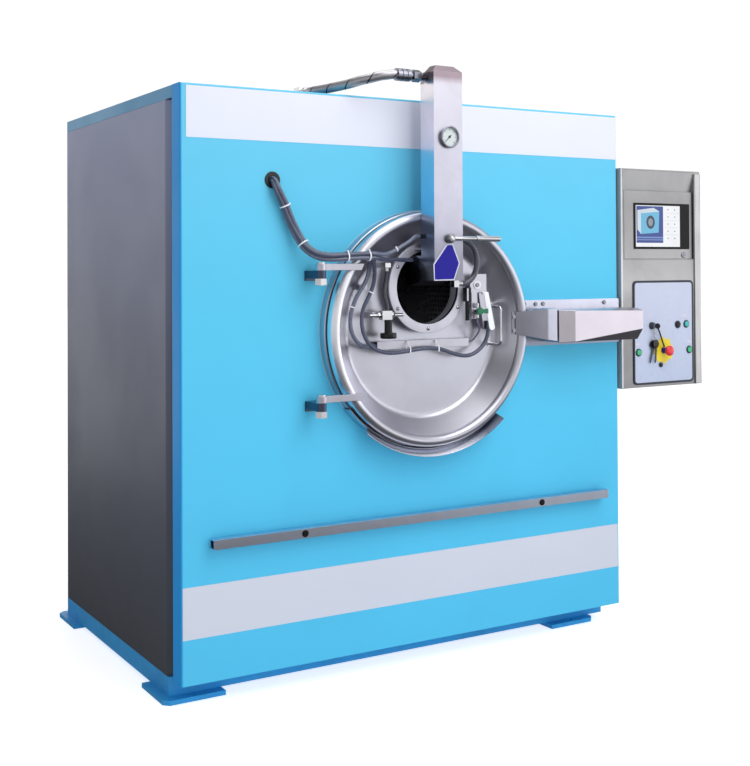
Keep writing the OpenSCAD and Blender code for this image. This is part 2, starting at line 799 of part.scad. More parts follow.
module bearing_housing() place() color("dimgray") {
    tube_r = bearing_r + 14;
    flange_r = tube_r + 50;
    turned(axis_x, axis_z) {
        ring([bearing_r + run_fit, tube_r], [-housing_back_y, -tub_back_y]);
        ring([bearing_r + run_fit, flange_r], [-tub_back_y - 12, -tub_back_y]);
    }
    for (a = [0:60:300])
        translate([axis_x, 0, axis_z]) rotate([0, a, 0])
            upright([-5, 5]) polygon([
                [tube_r - 2, -tub_back_y - 12], [flange_r - 4, -tub_back_y - 12],
                [tube_r, 30 - housing_back_y], [tube_r - 2, 30 - housing_back_y]
            ]);
}

module drum_bearings() place() color("silver") turned(axis_x, axis_z)
    for (y = [tub_back_y + 2, housing_back_y - bearing_w - 2]) difference() {
        ring([shaft_r + run_fit, bearing_r], [-y - bearing_w, -y]);
        for (o = [-y - bearing_w - cut, -y - 1])
            ring([shaft_r + 7, bearing_r - 5], [o, o + 1 + cut]);
    }

module drum() place() color("silver") {
    lip_r = drum_r - drum_lip;
    lifter_low = drum_wall - 1 - drum_r;
    difference() {
        turned(axis_x, axis_z) {
            ring([drum_r - drum_wall, drum_r], [-drum_back_y, -drum_front_y]);
            ring([lip_r, drum_r], [-drum_front_y - drum_wall, -drum_front_y]);
            translate([lip_r, -drum_front_y - drum_wall - 3]) circle(6);
            ring([0, drum_r], [-drum_back_y, drum_back_t - drum_back_y]);
            ring([0, shaft_r + 30], [-drum_back_y - 20, 1 - drum_back_y]);
            ring([0, shaft_r], [-shaft_end_y, 1 - drum_back_y]);
        }
        for (k = [0.25, 0.65], a = [30:60:330])
            translate([axis_x, drum_front_y + k * (drum_back_y - drum_front_y), axis_z]) rotate([0, a, 0])
                translate([0, 0, drum_r - 3 * drum_wall])
                cylinder(h = 4 * drum_wall, r = drum_hole_r);
    }
    for (a = [0:120:240])
        translate([axis_x, 0, axis_z]) rotate([0, a, 0])
            facing([drum_back_t / 2 - drum_back_y, -drum_front_y - drum_wall / 2]) polygon([
                [-50, lifter_low], [50, lifter_low],
                [25, lifter_low + lifter_h], [-25, lifter_low + lifter_h]
            ]);
    facing([-shaft_end_y - 12, 1 - shaft_end_y]) translate([axis_x, axis_z]) circle(shaft_r + 12, $fn = 6);
}

module drum_pulley() place() color("dimgray") difference() {
    turned(axis_x, axis_z) {
        ring([big_pulley_r - 14, big_pulley_r], [-pulley_y - pulley_w, -pulley_y]);
        ring([shaft_r + 20, big_pulley_r - 8], [-pulley_y - pulley_w / 2 - 6, 6 - pulley_y - pulley_w / 2]);
        ring([shaft_r + run_fit, shaft_r + 28], [-pulley_y - pulley_w - 9, -pulley_y]);
    }
    for (a = [0:60:300])
        translate([axis_x, 0, axis_z]) rotate([0, a, 0])
            rod_out((shaft_r + big_pulley_r) / 2 + 8, 0, [-pulley_y - pulley_w - cut, cut - pulley_y],
                (big_pulley_r - shaft_r) / 5);
}

module motor_pulley() place() color("silver") turned(motor_x, motor_z) {
    ring([0, motor_shaft_r], [-pulley_y - pulley_w - 6, motor_socket - 2 - motor_back_y]);
    ring([0, small_pulley_r], [-pulley_y - pulley_w, -pulley_y]);
}

module drive_motor() place() color("dimgray") {
    front_y = motor_back_y - motor_len;
    difference() {
        union() {
            turned(motor_x, motor_z) {
                ring([0, motor_r - 8], [-motor_back_y, -front_y]);
                for (i = [0:9])
                    let (y = front_y + 30 + i * (motor_len - 60) / 9)
                        ring([motor_r - 12, motor_r], [-y - 4, 4 - y]);
            }
            block([motor_x - 70, motor_x + 70], [40 - motor_back_y, -40 - front_y], [0, motor_z - motor_r / 2]);
            block([motor_x - 50, motor_x + 50], [60 - motor_back_y, -60 - front_y],
                [motor_z + motor_r / 2, motor_z + motor_r + 30]);
        }
        rod_out(motor_x, motor_z, [-motor_back_y - cut, motor_socket - motor_back_y],
            motor_shaft_r + run_fit);
    }
}

// Outline of a belt's outer or inner side, off from both pulleys by gap
module belt_outline(gap) {
    big = [axis_x, axis_z];
    small = [motor_x, motor_z];
    d = small - big;
    u = unit(d);
    lean = asin((big_pulley_r - small_pulley_r) / norm(d));
    sides = [for (s = [-1, 1]) sin(lean) * u + s * cos(lean) * [-u[1], u[0]]];
    translate(big) circle(big_pulley_r + gap);
    translate(small) circle(small_pulley_r + gap);
    polygon([
        big + (big_pulley_r + gap) * sides[0], small + (small_pulley_r + gap) * sides[0],
        small + (small_pulley_r + gap) * sides[1], big + (big_pulley_r + gap) * sides[1]
    ]);
}

module drive_belt() place() color("black") facing([4 - pulley_y - pulley_w, -4 - pulley_y]) difference() {
    belt_outline(touch + belt_t);
    belt_outline(touch);
}

module pipe_fittings() place() color("silver") {
    out_y = body_d + pipe_stub;
    difference() {
        union() {
            rod_up(axis_x, -drain_y, [drain_z, axis_z - tub_r - touch], drain_r);
            rod_out(axis_x, drain_z, [-body_d, -drain_y], drain_r - 1);
            rod_out(axis_x, drain_z, [-out_y, -body_d], drain_r);
            translate([axis_x, drain_y, drain_z]) sphere(drain_r);
        }
        rod_up(axis_x, -drain_y, [drain_z, axis_z - tub_r], drain_r - 4);
        rod_out(axis_x, drain_z, [-out_y - cut, -drain_y], drain_r - 4);
    }
    for (x = inlet_xs) difference() {
        union() {
            rod_out(x, inlet_z, [-out_y, -body_d], inlet_r);
            rod_out(x, inlet_z, [-body_d, sheet_t - body_d], inlet_r - 1);
            block([x - inlet_body[0] / 2, x + inlet_body[0] / 2],
                [sheet_t - body_d, sheet_t - body_d + inlet_body[2]],
                [inlet_z - inlet_body[1] / 2, inlet_z + inlet_body[1] / 2]);
        }
        rod_out(x, inlet_z, [-out_y - cut, 10 - body_d], inlet_r - 5);
    }
    rod_out(roof_fitting_x, roof_hose_z, [-roof_fitting_y - 50, -roof_fitting_y], hose_r + 5);
    block([roof_fitting_x - 20, roof_fitting_x + 20], [-roof_fitting_y - 70, -roof_fitting_y - 30],
        [panel_h, roof_hose_z + 22]);
    block([roof_fitting_x - 32, roof_fitting_x + 32], [-roof_fitting_y - 82, -roof_fitting_y - 18],
        [panel_h, panel_h + 6]);
}

// Hinges, lock and door

module hinge_blocks() place() color("silver") for (z = hinge_zs) difference() {
    top = z - arm_h / 2 - hinge_gap;
    low = top - knuckle_h;
    union() {
        block([hinge_x - knuckle_r, hinge_x + hinge_bolt_dx + 12], [0, hinge_plate_t], [low - 8, top]);
        block([hinge_x - knuckle_r, hinge_x + knuckle_r], [0, hinge_out], [low, top]);
        rod_up(hinge_x, hinge_out, [low, top], knuckle_r);
    }
    rod_up(hinge_x, hinge_out, [low - cut, top + cut], pin_r + run_fit);
    for (b = hinge_bolts) rod_out(b[0], b[1], [-cut, hinge_plate_t + cut], bolt_shank_r + bolt_slack);
}

module hinge_arms() place() color("silver") for (z = hinge_zs) difference() {
    union() {
        facing([arm_out, arm_out + arm_t]) polygon([
            [hinge_x, z - arm_h / 2], [hinge_x + arm_len - arm_h / 2, z - arm_h / 2],
            [hinge_x + arm_len, z + arm_h / 2], [hinge_x, z + arm_h / 2]
        ]);
        rod_up(hinge_x, hinge_out, [z - arm_h / 2, z + arm_h / 2], pin_r + 7);
    }
    rod_up(hinge_x, hinge_out, [z - arm_h, z + arm_h], pin_r + run_fit);
}

module hinge_pins() place() color("gainsboro") for (z = hinge_zs) {
    low = z - arm_h / 2 - hinge_gap - knuckle_h;
    rod_up(hinge_x, hinge_out, [low - pin_nut_h - 2, z + arm_h / 2 + pin_head_h], pin_r);
    rod_up(hinge_x, hinge_out, [z + arm_h / 2, z + arm_h / 2 + pin_head_h], pin_r + 4);
    difference() {
        rod_up(hinge_x, hinge_out, [low - hinge_gap - pin_nut_h, low - hinge_gap], pin_r + 11, $fn = 6);
        rod_up(hinge_x, hinge_out, [low - 2 * pin_nut_h, low], pin_r + run_fit);
    }
}

module door_dish() place() color("gainsboro") difference() {
    turned(axis_x, axis_z) {
        difference() {
            translate([roll_mid_r, roll_out]) circle(roll_r);
            translate([roll_mid_r, roll_out]) circle(roll_r - dish_t);
            ring([0, rim_r + cut], [-rim_out, roll_out]);
        }
        ring([rim_r - dish_t, rim_r], [lip_out, roll_out]);
        ring([mouth_in_r, rim_r], [lip_out, lip_out + dish_t]);
        polygon([
            [rim_in_r, roll_out], [floor_r, floor_out], [0, floor_out], [0, floor_out - dish_t],
            [floor_r + dish_t / 2, floor_out - dish_t], [rim_in_r + 1.25 * dish_t, roll_out]
        ]);
    }
    rod_out(axis_x, port_z, [floor_out - dish_t - cut, floor_out + cut], port_r + neck_wall + touch);
}

module door_seal() place() color("dimgray") turned(axis_x, axis_z) {
    round_r = 3;
    ring([mouth_in_r + round_r, rim_r - round_r], [seal_out, lip_out]);
    ring([mouth_in_r, rim_r], [seal_out + round_r, lip_out]);
    for (r = [mouth_in_r + round_r, rim_r - round_r]) translate([r, seal_out + round_r]) circle(round_r);
}

module door_handle() place() color("silver") {
    r = handle_d / 2;
    zs = [handle_z - handle_h / 2, handle_z + handle_h / 2];
    for (z = zs) {
        rod_out(handle_x, z, [on_floor, handle_out - handle_bend], r);
        rod_out(handle_x, z, [on_floor, on_floor + 2], r + 1);
    }
    rod_up(handle_x, handle_out, [zs[0] + handle_bend, zs[1] - handle_bend], r);
    for (s = [0, 1])
        translate([handle_x, handle_bend - handle_out, zs[s] + (1 - 2 * s) * handle_bend])
            rotate([0, -90, 0]) rotate([0, 0, s == 0 ? 180 : 270])
                rotate_extrude(angle = 90) translate([handle_bend, 0]) circle(r);
}

module porthole_ring() place() color("silver") difference() {
    turned(axis_x, port_z) {
        ring([port_r, port_r + neck_wall], [floor_out - dish_t - 2, port_out]);
        ring([port_r, port_flange_r], [port_out - port_flange_t, port_out]);
    }
    for (a = [30:60:330])
        translate([axis_x, 0, port_z]) rotate([0, a, 0])
            rod_out(port_screw_r, 0, [port_out - port_flange_t + 1, port_out + cut], bolt_shank_r + bolt_slack);
}

module door_screws() place() color("gainsboro") {
    for (a = [30:60:330])
        translate([axis_x, 0, port_z]) rotate([0, a, 0]) {
            rod_out(port_screw_r, 0, [port_out - port_flange_t + 2, port_out], bolt_shank_r);
            rod_out(port_screw_r, 0, [port_out, port_out + small_head_h], small_head_r);
        }
    on_door() {
        rod_out(ear_bolt[0], ear_bolt[1], [ear_out - 8, ear_out + 4], bolt_shank_r);
        rod_out(ear_bolt[0], ear_bolt[1], [ear_out + 4, ear_out + 8], small_head_r, $fn = 6);
    }
    for (z = tab_screw_zs) {
        rod_out(tab_x + 7, z, [rim_out - 6, rim_out + lock_wall + touch], bolt_shank_r);
        rod_out(tab_x + 7, z, [rim_out + lock_wall + touch, rim_out + lock_wall + 4], small_head_r);
    }
}

module door_brackets() place() color("lightgray") on_door() {
    // Cable tray, open at its left end
    difference() {
        block(tray_xs, [on_floor, tray_front], tray_zs);
        block([tray_xs[0] - cut, tray_xs[1] - 2], [on_floor + 2, tray_front - 2], [tray_zs[0] + 2, tray_zs[1] - 2]);
    }
    // Ear plate and its stem, on a leg
    difference() {
        union() {
            block(ear_xs, ear_outs, ear_zs);
            block([ear_xs[0] + 5, ear_xs[0] + 30], ear_outs, [stem_low, ear_zs[0] + 1]);
            block([ear_xs[1] - 12, ear_xs[1]], [on_floor, ear_out + 1], ear_zs);
        }
        rod_out(ear_bolt[0], ear_bolt[1], [ear_out - cut, ear_out + 4 + cut], bolt_shank_r + bolt_slack);
    }
    // Slanted bracket, open at its left
    difference() {
        facing([on_floor, 30]) polygon([[213, 118], [237, 118], [259, -10], [235, -10]]);
        facing([on_floor - cut, 27]) polygon([[177, 122], [233.5, 122], [257, -14], [197, -14]]);
    }
    // Saddles of the clamp's shaft and a small bracket beside them
    for (x = [-227, -155])
        block([x, x + 12], [on_floor, clamp[1] - stem_r - touch], [clamp[2] - 10, clamp[2] + 10]);
    block([-259, -229], [on_floor, 14], [134, 153]);
    // Posts and pad that carry the tower
    for (s = [-1, 1]) rod_out(s * 48, port_dz + 132, [port_out, tower_back], 8);
    block([-40, 40], [rim_out + touch, tower_back], [roll_mid_r - 10, roll_mid_r + 10]);
}

module spray_tower_outline(inset) polygon([
    [tower_back + inset, tower_foot + inset], [tower_front - inset, tower_foot + inset],
    [tower_front - inset, eaves_z - inset], [notch_out + inset, eaves_z - inset],
    [notch_out + inset, notch_z - inset], [tower_back + inset, notch_z - inset]
]);

module tower_duct() place() color("silver") difference() {
    union() {
        along(tower_xs) spray_tower_outline(0);
        hull() {
            block(tower_xs, [notch_out, tower_front], [eaves_z - 1, eaves_z]);
            block([tower_xs[0] + roof_in, tower_xs[1] - roof_in], [notch_out, tower_front - roof_in],
                [eaves_z, eaves_z + roof_h]);
        }
    }
    along([tower_xs[0] + tower_wall, tower_xs[1] - tower_wall]) spray_tower_outline(tower_wall);
    block([tower_xs[0] + tower_wall, tower_xs[1] - tower_wall], [tower_back - cut, tower_back + tower_wall + cut],
        [tower_foot + tower_wall, chute_zs[1] - tower_wall]);
    rod_out(lever_x, lever_z, [tower_front - tower_wall - cut, tower_front + cut], stem_r + run_fit);
}

module chute_outline(inset, ends) polygon([
    [-chute_in - ends, chute_zs[0] + inset], [port_out - 20, chute_zs[0] + inset],
    [tower_back + ends, tower_foot + inset], [tower_back + ends, chute_zs[1] - inset],
    [-chute_in - ends, chute_zs[1] - inset]
]);

module spray_chute() place() color("silver") difference() {
    along(tower_xs) chute_outline(0, 0);
    along([tower_xs[0] + tower_wall, tower_xs[1] - tower_wall]) chute_outline(tower_wall, cut);
}

module sign_plate() place() color("midnightblue") facing([tower_front, tower_front + sign_t])
    translate([axis_x, tower_foot])
        polygon([[-10, 121], [16, 121], [43, 58], [20, 1], [-60, 0], [-63, 55]]);

module gauge_case() place() color("silver") turned(gauge_x, gauge_z) {
    face = tower_front + gauge_h;
    ring([spindle_r + run_fit, gauge_r], [tower_front, tower_front + 3]);
    ring([gauge_r - gauge_wall, gauge_r], [tower_front, face]);
    ring([gauge_r - gauge_wall - 3, gauge_r], [face - 2, face]);
    ring([0, gauge_r - gauge_wall - touch], [face - 4, face - 2 - touch]);
}

module gauge_needle() place() color("black") {
    out = [tower_front + 4, tower_front + 6];
    rod_out(gauge_x, gauge_z, [tower_front + 0.5, out[1]], spindle_r);
    rod_out(gauge_x, gauge_z, out, spindle_r + 2.5);
    facing(out) translate([gauge_x, gauge_z]) rotate(225)
        polygon([[-8, -2], [-8, 2], [gauge_r - 14, 0.6], [gauge_r - 9, 0], [gauge_r - 14, -0.6]]);
}

module valve_lever() place() color("silver") {
    end = lever_x + lever_len;
    rod_out(lever_x, lever_z, [tower_front - 20, lever_out + 8], stem_r);
    rod_out(lever_x, lever_z, [tower_front - 12, tower_front - 8], stem_r + 5);
    rod_out(lever_x, lever_z, [tower_front + touch, lever_out + 8], stem_r + 10);
    rod_across([lever_x, end], lever_out, lever_z, lever_d / 2);
    rod_across([end - lever_len / 2, end], lever_out, lever_z, grip_r);
}

// Coupling of the tower's hose
module hose_coupling() difference() {
    union() {
        block([tower_xs[0], tower_xs[0] + 40], [tower_back, notch_out - touch], [notch_z, eaves_z]);
        rod_across([tower_xs[0] - 60, tower_xs[0] + 2], fitting_out, fitting_z, hose_r - 3);
        rod_across([tower_xs[0] - 42, tower_xs[0] - 14], fitting_out, fitting_z, hose_r + 5, $fn = 6);
        rod_across([fitting_x, tower_xs[0] - 53], fitting_out, fitting_z, hose_r + 3);
        for (i = [0:2])
            rod_across([fitting_x + i * 19, fitting_x + i * 19 + 13], fitting_out, fitting_z, hose_r + 5);
    }
    rod_across([fitting_x - cut, tower_xs[0] + 20], fitting_out, fitting_z, hose_r - 7);
}

module door_fittings() on_door() {
    tower_x = tower_w / 2;
    // Elbow and clamp of the dosing hose
    block([-182, -160], [on_floor, 53], [208, 224]);
    rod_up(-171, 42, [196, 209], dosing_r + 3);
    rod_across(shaft_xs, clamp[1], clamp[2], stem_r);
    difference() {
        block([clamp[0] - 29, clamp[0] + 9], [clamp[1] - 12, clamp[1] + 12], [clamp[2] - 15, clamp[2] + 15]);
        rod_up(clamp[0], clamp[1], [clamp[2] - 16, clamp[2] - 7], 5 + run_fit);
    }
    // Solenoid beside the ear plate
    block([ear_xs[0] - 21, ear_xs[0] - touch], [44, 64], [89, 138]);
    rod_up(ear_xs[0] - 10, ear_out, [24, 90], 7.5);
    // Sampling valve in front of the stem
    difference() {
        union() {
            rod_out(sampling[0], sampling[1], [ear_outs[1], 80], 12);
            rod_up(sampling[0], 69, [sampling[1] - 24, sampling[1] + 28], 6);
        }
        rod_out(sampling[0], sampling[1], [66, 80 + cut], 3 + run_fit);
    }
    // Fittings of the loop hose and glands of the two branches
    rod_across([tower_x, tower_x + 14], loop_out, loop_dzs[1], loop_r + 2);
    block([tower_x - 15, tower_x + 5], [loop_out - 10, loop_out + 10], [loop_dzs[0] - 12, tower_foot - axis_z]);
    rod_across([tower_x + 5, tower_x + 21], loop_out, loop_dzs[0], loop_r);
    rod_across([-tower_x - 12, -tower_x], 88, 312, branch_r + 2.5);
    rod_across([-tower_x - 12, -tower_x], 42, 233, branch_r + 2.5);
}

module door_valves() place() color("dimgray") {
    hose_coupling();
    door_fittings();
}

module valve_knob() place() color("black") on_door() {
    top = clamp[2] - 8;
    rod_up(clamp[0], clamp[1], [top - 60, top], 5);
    rod_up(clamp[0], clamp[1], [top - 50, top - 7.5], 13);
    rod_up(clamp[0], clamp[1], [top - 70, top - 50], 28, $fn = 48);
}

module sampling_handle() place() color("green") on_door() {
    rod_out(sampling[0], sampling[1], [67, 90], 3);
    rod_out(sampling[0], sampling[1], [81, 90], 13);
    block([sampling[0], sampling[0] + 34], [82, 89], [sampling[1] - 8, sampling[1] + 8]);
}

module door_cables() place() color("slategray") {
    for (route = [branch_up, branch_chute, branch_left, branch_tray]) cord(route, branch_r);
    cord(loop_route, loop_r, 10);
    cord(dosing_route, dosing_r);
    cord(valve_route, valve_hose_r);
}

module latch_cover() place() color("silver") {
    tab_zs = [axis_z - 28, axis_z + 49];
    difference() {
        intersection() {
            upright([axis_z - 80, axis_z + 80]) polygon([
                [latch_x, arm_out], [latch_x, arm_out + 6], [latch_crest, latch_out], [latch_end, latch_out],
                [latch_end, latch_back], [axis_x + rim_r + 5, latch_back], [axis_x + rim_r + 5, arm_out]
            ]);
            facing([0, latch_out + cut]) polygon([
                [latch_x, tab_zs[0]], [latch_crest, axis_z - 51], [latch_end, axis_z - 57],
                [latch_end, axis_z + 60], [latch_crest, axis_z + 58], [latch_x, tab_zs[1]]
            ]);
        }
        intersection() {
            upright([axis_z - 80, axis_z + 80]) polygon([
                [latch_x + 4, 0], [latch_x + 4, arm_out + 3], [latch_crest, latch_out - lock_wall],
                [latch_end - keeper_w, latch_out - lock_wall], [latch_end - keeper_w, 0]
            ]);
            facing([0, latch_out + cut]) polygon([
                [latch_x, tab_zs[0] + lock_wall], [latch_crest, axis_z - 51 + lock_wall],
                [latch_end, axis_z - 57 + lock_wall], [latch_end, axis_z + 60 - lock_wall],
                [latch_crest, axis_z + 58 - lock_wall], [latch_x, tab_zs[1] - lock_wall]
            ]);
        }
        block([latch_end - keeper_w - cut, latch_end + cut], [bolt_out - keeper_hole, bolt_out + keeper_hole],
            [bolt_z - keeper_hole, bolt_z + keeper_hole]);
    }
    difference() {
        block([tab_x, latch_x + 3], [arm_out, rim_out + lock_wall + touch], tab_zs);
        for (z = tab_screw_zs) rod_out(tab_x + 7, z, [rim_out - 8, latch_out], bolt_shank_r + bolt_slack);
    }
}

module lock_base_plate() place() color("dimgray") difference() {
    facing([0, lock_plate_t]) translate([lock_plate_x, lock_plate_z])
        rounded([lock_end - lock_plate_x, lock_plate_h], 6);
    for (b = lock_bolts) rod_out(b[0], b[1], [-cut, lock_plate_t + cut], bolt_shank_r + bolt_slack);
}

// Body of the lock housing, or its hollow when inset by a wall
module lock_body(inset, from_x, back) hull() {
    low = axis_z - 63 + inset;
    high = axis_z + 53 - inset;
    block([from_x, lock_end - inset], [back, latch_out - inset], [low, high]);
    facing([lock_out - inset - 1, lock_out - inset]) polygon([
        [max(lock_x + 50, from_x), low + 3], [lock_end - inset, low + 40], [lock_end - inset, high - 8],
        [max(lock_x + 50, from_x), high - 1]
    ]);
}

module lock_housing() place() color("silver") difference() {
    lock_body(0, lock_x, lock_plate_t);
    lock_body(lock_wall, lock_x + bolt_guide, lock_plate_t + lock_wall);
    rod_across([lock_x - cut, lock_x + bolt_guide + cut], bolt_out, bolt_z, bolt_r + run_fit);
}

module lock_bolt() place() color("gainsboro") {
    rod_across([lock_x + 1, lock_x + 1 + bolt_len], bolt_out, bolt_z, bolt_r);
    rod_across([lock_x + bolt_len - 7, lock_x + 1 + bolt_len], bolt_out, bolt_z, bolt_head_r);
}

// Control box

// Recess of the screen under its visor, grown by wall
module recess(wall, front) {
    top = screen_top + visor_h;
    along([recess_xs[0] - wall, recess_xs[1] + wall]) polygon([
        [front, recess_low - wall], [recess_out - wall, recess_low - wall],
        [recess_out - wall, screen_top + wall / 2], [box_out - wall, top + wall],
        [front, top + wall]
    ]);
}

module control_box() place() color("darkgray") difference() {
    union() {
        difference() {
            block([box_x, box_end], [box_out - box_d, box_out], [box_z, box_top]);
            block([box_x + box_wall, box_end - box_wall], [box_out - box_d + box_wall, box_out - box_wall],
                [box_z + box_wall, box_top - box_wall]);
        }
        block([panel_w, box_x + box_wall], [box_out - box_d + 4, -side_y - 8], [box_z + 90, box_top - 90]);
    }
    recess(box_wall + touch, box_out + cut);
    for (c = controls) at(c[0]) rod_out(0, 0, [box_out - 3 * box_wall, box_out + cut], c[1] + barrel_wall + touch);
}

// Tray under the visor, with the knuckle of the screen door
module screen_tray() place() color("darkgray") difference() {
    union() {
        difference() {
            recess(box_wall, box_out);
            recess(0, box_out + cut);
        }
        block([screen_pivot_x - 7, screen_pivot_x + 7], [recess_out - 1, screen_pivot_out + 6],
            [screen_top + 1, screen_top + 9]);
    }
    rod_up(screen_pivot_x, screen_pivot_out, [recess_low - box_wall - cut, screen_top + 9 + cut],
        screen_pin_r + run_fit);
}

module button_plate() place() color("lightsteelblue") difference() {
    facing([box_out, plate_face]) translate([plate_x, plate_z]) rounded([plate_w, plate_h], 14);
    for (c = controls) at(c[0]) rod_out(0, 0, [box_out - cut, plate_face + cut], c[1] + barrel_wall + touch);
}

module plate_gasket() place() color("darkslategray") facing([box_out, plate_face + 1]) difference() {
    translate([plate_x - gasket_w, plate_z - gasket_w])
        rounded([plate_w + 2 * gasket_w, plate_h + 2 * gasket_w], 14 + gasket_w);
    translate([plate_x - touch, plate_z - touch]) rounded([plate_w + 2 * touch, plate_h + 2 * touch], 14 + touch);
}

module button_collars() place() color("silver") for (c = controls) at(c[0]) {
    is_estop = c[1] == estop_neck_r;
    bore = c[1] + run_fit;
    foot = is_estop ? plate_face + 2 : plate_face;
    turned(0, 0) {
        ring([bore, c[1] + barrel_wall], [barrel_back, plate_face]);
        ring([bore, is_estop ? estop_neck_r + 6 : collar_r], [plate_face, foot + collar_h]);
        if (is_estop) ring([bore, estop_disc_r], [plate_face, foot]);
    }
}

module push_button(spot) at(spot) turned(0, 0) {
    face = plate_face + collar_h + button_travel;
    ring([0, button_r], [barrel_back - 5, face - 1]);
    ring([0, button_r - 1], [face - 1, face]);
    translate([button_r - 1, face - 1]) intersection() {
        circle(1);
        square(1);
    }
    ring([0, button_r + barrel_wall], [barrel_back - 5, barrel_back - 1.5]);
}

module black_button() place() color("black") push_button(black);
module teal_button() place() color("teal") push_button(teal);
module green_button_left() place() color("green") push_button(green_left);
module green_button_right() place() color("green") push_button(green_right);

module estop_button() place() color("red") at(estop) turned(0, 0) {
    ring([0, estop_neck_r], [barrel_back - 8, estop_out - 8]);
    ring([0, estop_neck_r + barrel_wall], [barrel_back - 8, barrel_back - 2]);
    ring([0, estop_r], [estop_out - 15, estop_out - 6]);
    ring([0, estop_r - 6], [estop_out - 8, estop_out]);
    translate([estop_r - 6, estop_out - 6]) circle(6);
}

module key_switch() place() color("silver") at(key) {
    rod_out(0, 0, [barrel_back - 4, plate_face + collar_h + 1], key_r);
    block([-1.2, 1.2], [plate_face + collar_h, plate_face + 30], [-6, 6]);
    translate([1.2, 0, 0]) rotate([0, -90, 0]) linear_extrude(2.4) translate([0, -plate_face - 34]) circle(12);
}

module screen_door() place() color("lightgray") difference() {
    union() {
        block([screen_pivot_x, screen_end], [screen_back, screen_face], [screen_z, screen_top]);
        rod_up(screen_pivot_x, screen_pivot_out, [screen_z, screen_top], screen_edge_r);
        rod_up(screen_pivot_x, screen_pivot_out, [recess_low - box_wall, screen_top + 8], screen_pin_r);
    }
    block([display_x + window_rim, display_x + display_w - window_rim], [screen_back - cut, screen_face + cut],
        [display_z + window_rim, display_z + display_h - window_rim]);
    rod_out(cam_x, cam_z, [screen_back - cut, screen_face + cut], cam_r + run_fit);
}

module display() place() color("black") {
    inset = window_rim + touch;
    block([display_x, display_x + display_w], [screen_face, screen_face + display_t],
        [display_z, display_z + display_h]);
    block([display_x + inset, display_x + display_w - inset], [screen_back + 0.5, screen_face],
        [display_z + inset, display_z + display_h - inset]);
}

module screen_lock() place() color("silver") difference() {
    union() {
        rod_out(cam_x, cam_z, [screen_back + 0.5, screen_face + 3], cam_r);
        rod_out(cam_x, cam_z, [screen_face + touch, screen_face + 3], cam_r + 2);
    }
    block([cam_x - 1, cam_x + 1], [screen_face + 1, screen_face + 4], [cam_z - 5, cam_z + 5]);
}

// Hoses between the cabinet and the door

module tower_hose() place() color("slategray") cord(hose_route, hose_r, 10);

module cable_bundle() place() color("slategray") cord(bundle_route, bundle_r);

base_frame();
front_panel();
side_panel_left();
side_panel_right();
rear_panel();
top_panel();
panel_bands();
bumper_rail();
panel_bolts();
cable_grommet();
tub_shell();
tub_front();
drip_tray();
bearing_housing();
drum_bearings();
drive_motor();
drive_belt();
pipe_fittings();
hinge_blocks();
lock_base_plate();
lock_housing();
control_box();
screen_tray();
button_plate();
plate_gasket();
button_collars();
tower_hose();
cable_bundle();
drum();
drum_pulley();
motor_pulley();
door_dish();
door_seal();
hinge_arms();
hinge_pins();
door_handle();
porthole_ring();
door_screws();
door_brackets();
tower_duct();
spray_chute();
sign_plate();
gauge_case();
door_cables();
door_valves();
latch_cover();
gauge_needle();
valve_lever();
valve_knob();
sampling_handle();
lock_bolt();
screen_door();
display();
screen_lock();
estop_button();
black_button();
teal_button();
green_button_left();
green_button_right();
key_switch();
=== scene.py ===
# %% [markdown]
# # A sample garment washing machine
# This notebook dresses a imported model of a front-loading sample washing machine: a blue sheet-metal
# cabinet, a dished steel door that carries a spray tower, a side lock and a control box.
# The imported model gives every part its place. A plain part can keep its own solid and only get a
# better finish, and a part whose edges or curves show is drawn again here as a finer surface.

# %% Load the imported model
import math

import bmesh
import bpy
import numpy as np
from mathutils import Matrix, Vector
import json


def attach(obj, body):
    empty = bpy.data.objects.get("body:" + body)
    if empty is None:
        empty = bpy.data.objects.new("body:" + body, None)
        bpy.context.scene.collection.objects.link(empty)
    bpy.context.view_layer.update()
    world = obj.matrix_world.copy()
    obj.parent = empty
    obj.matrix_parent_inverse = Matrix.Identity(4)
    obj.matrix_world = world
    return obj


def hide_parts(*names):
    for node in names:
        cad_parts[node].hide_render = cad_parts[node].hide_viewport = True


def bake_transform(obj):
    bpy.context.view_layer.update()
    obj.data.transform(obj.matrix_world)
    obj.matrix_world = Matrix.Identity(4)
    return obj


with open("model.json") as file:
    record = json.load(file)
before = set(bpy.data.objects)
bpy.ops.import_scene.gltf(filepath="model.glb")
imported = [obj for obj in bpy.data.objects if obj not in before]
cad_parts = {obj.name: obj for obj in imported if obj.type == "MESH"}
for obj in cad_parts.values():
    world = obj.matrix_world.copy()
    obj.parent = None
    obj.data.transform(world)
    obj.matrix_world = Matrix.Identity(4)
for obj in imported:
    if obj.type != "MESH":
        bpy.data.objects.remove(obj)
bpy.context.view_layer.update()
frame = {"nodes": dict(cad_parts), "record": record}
nodes = frame["nodes"]
body_of_node = {n: body for body, held in frame["record"]["behaviour"]["bodies"].items() for n in held}

# %% [markdown]
# Places on the machine are easiest to read as a fitter would give them: millimetres to the right of
# the front panel's left edge, millimetres in front of the panel, and millimetres above its lower
# edge. One helper turns such a place into the model's metres, for one point or a whole table.

# %% Places on the machine
PANEL_LEFT, PANEL_FACE, PANEL_FOOT = 1081.0, 531.0, 75.0  # from the model's origin
AXIS_X, AXIS_Z = 883.0, 1068.0  # the drum's axis
PORT_Z = 1208.0  # the porthole's centre
HUB, PORT = (AXIS_X, 0, AXIS_Z), (AXIS_X, 0, PORT_Z)


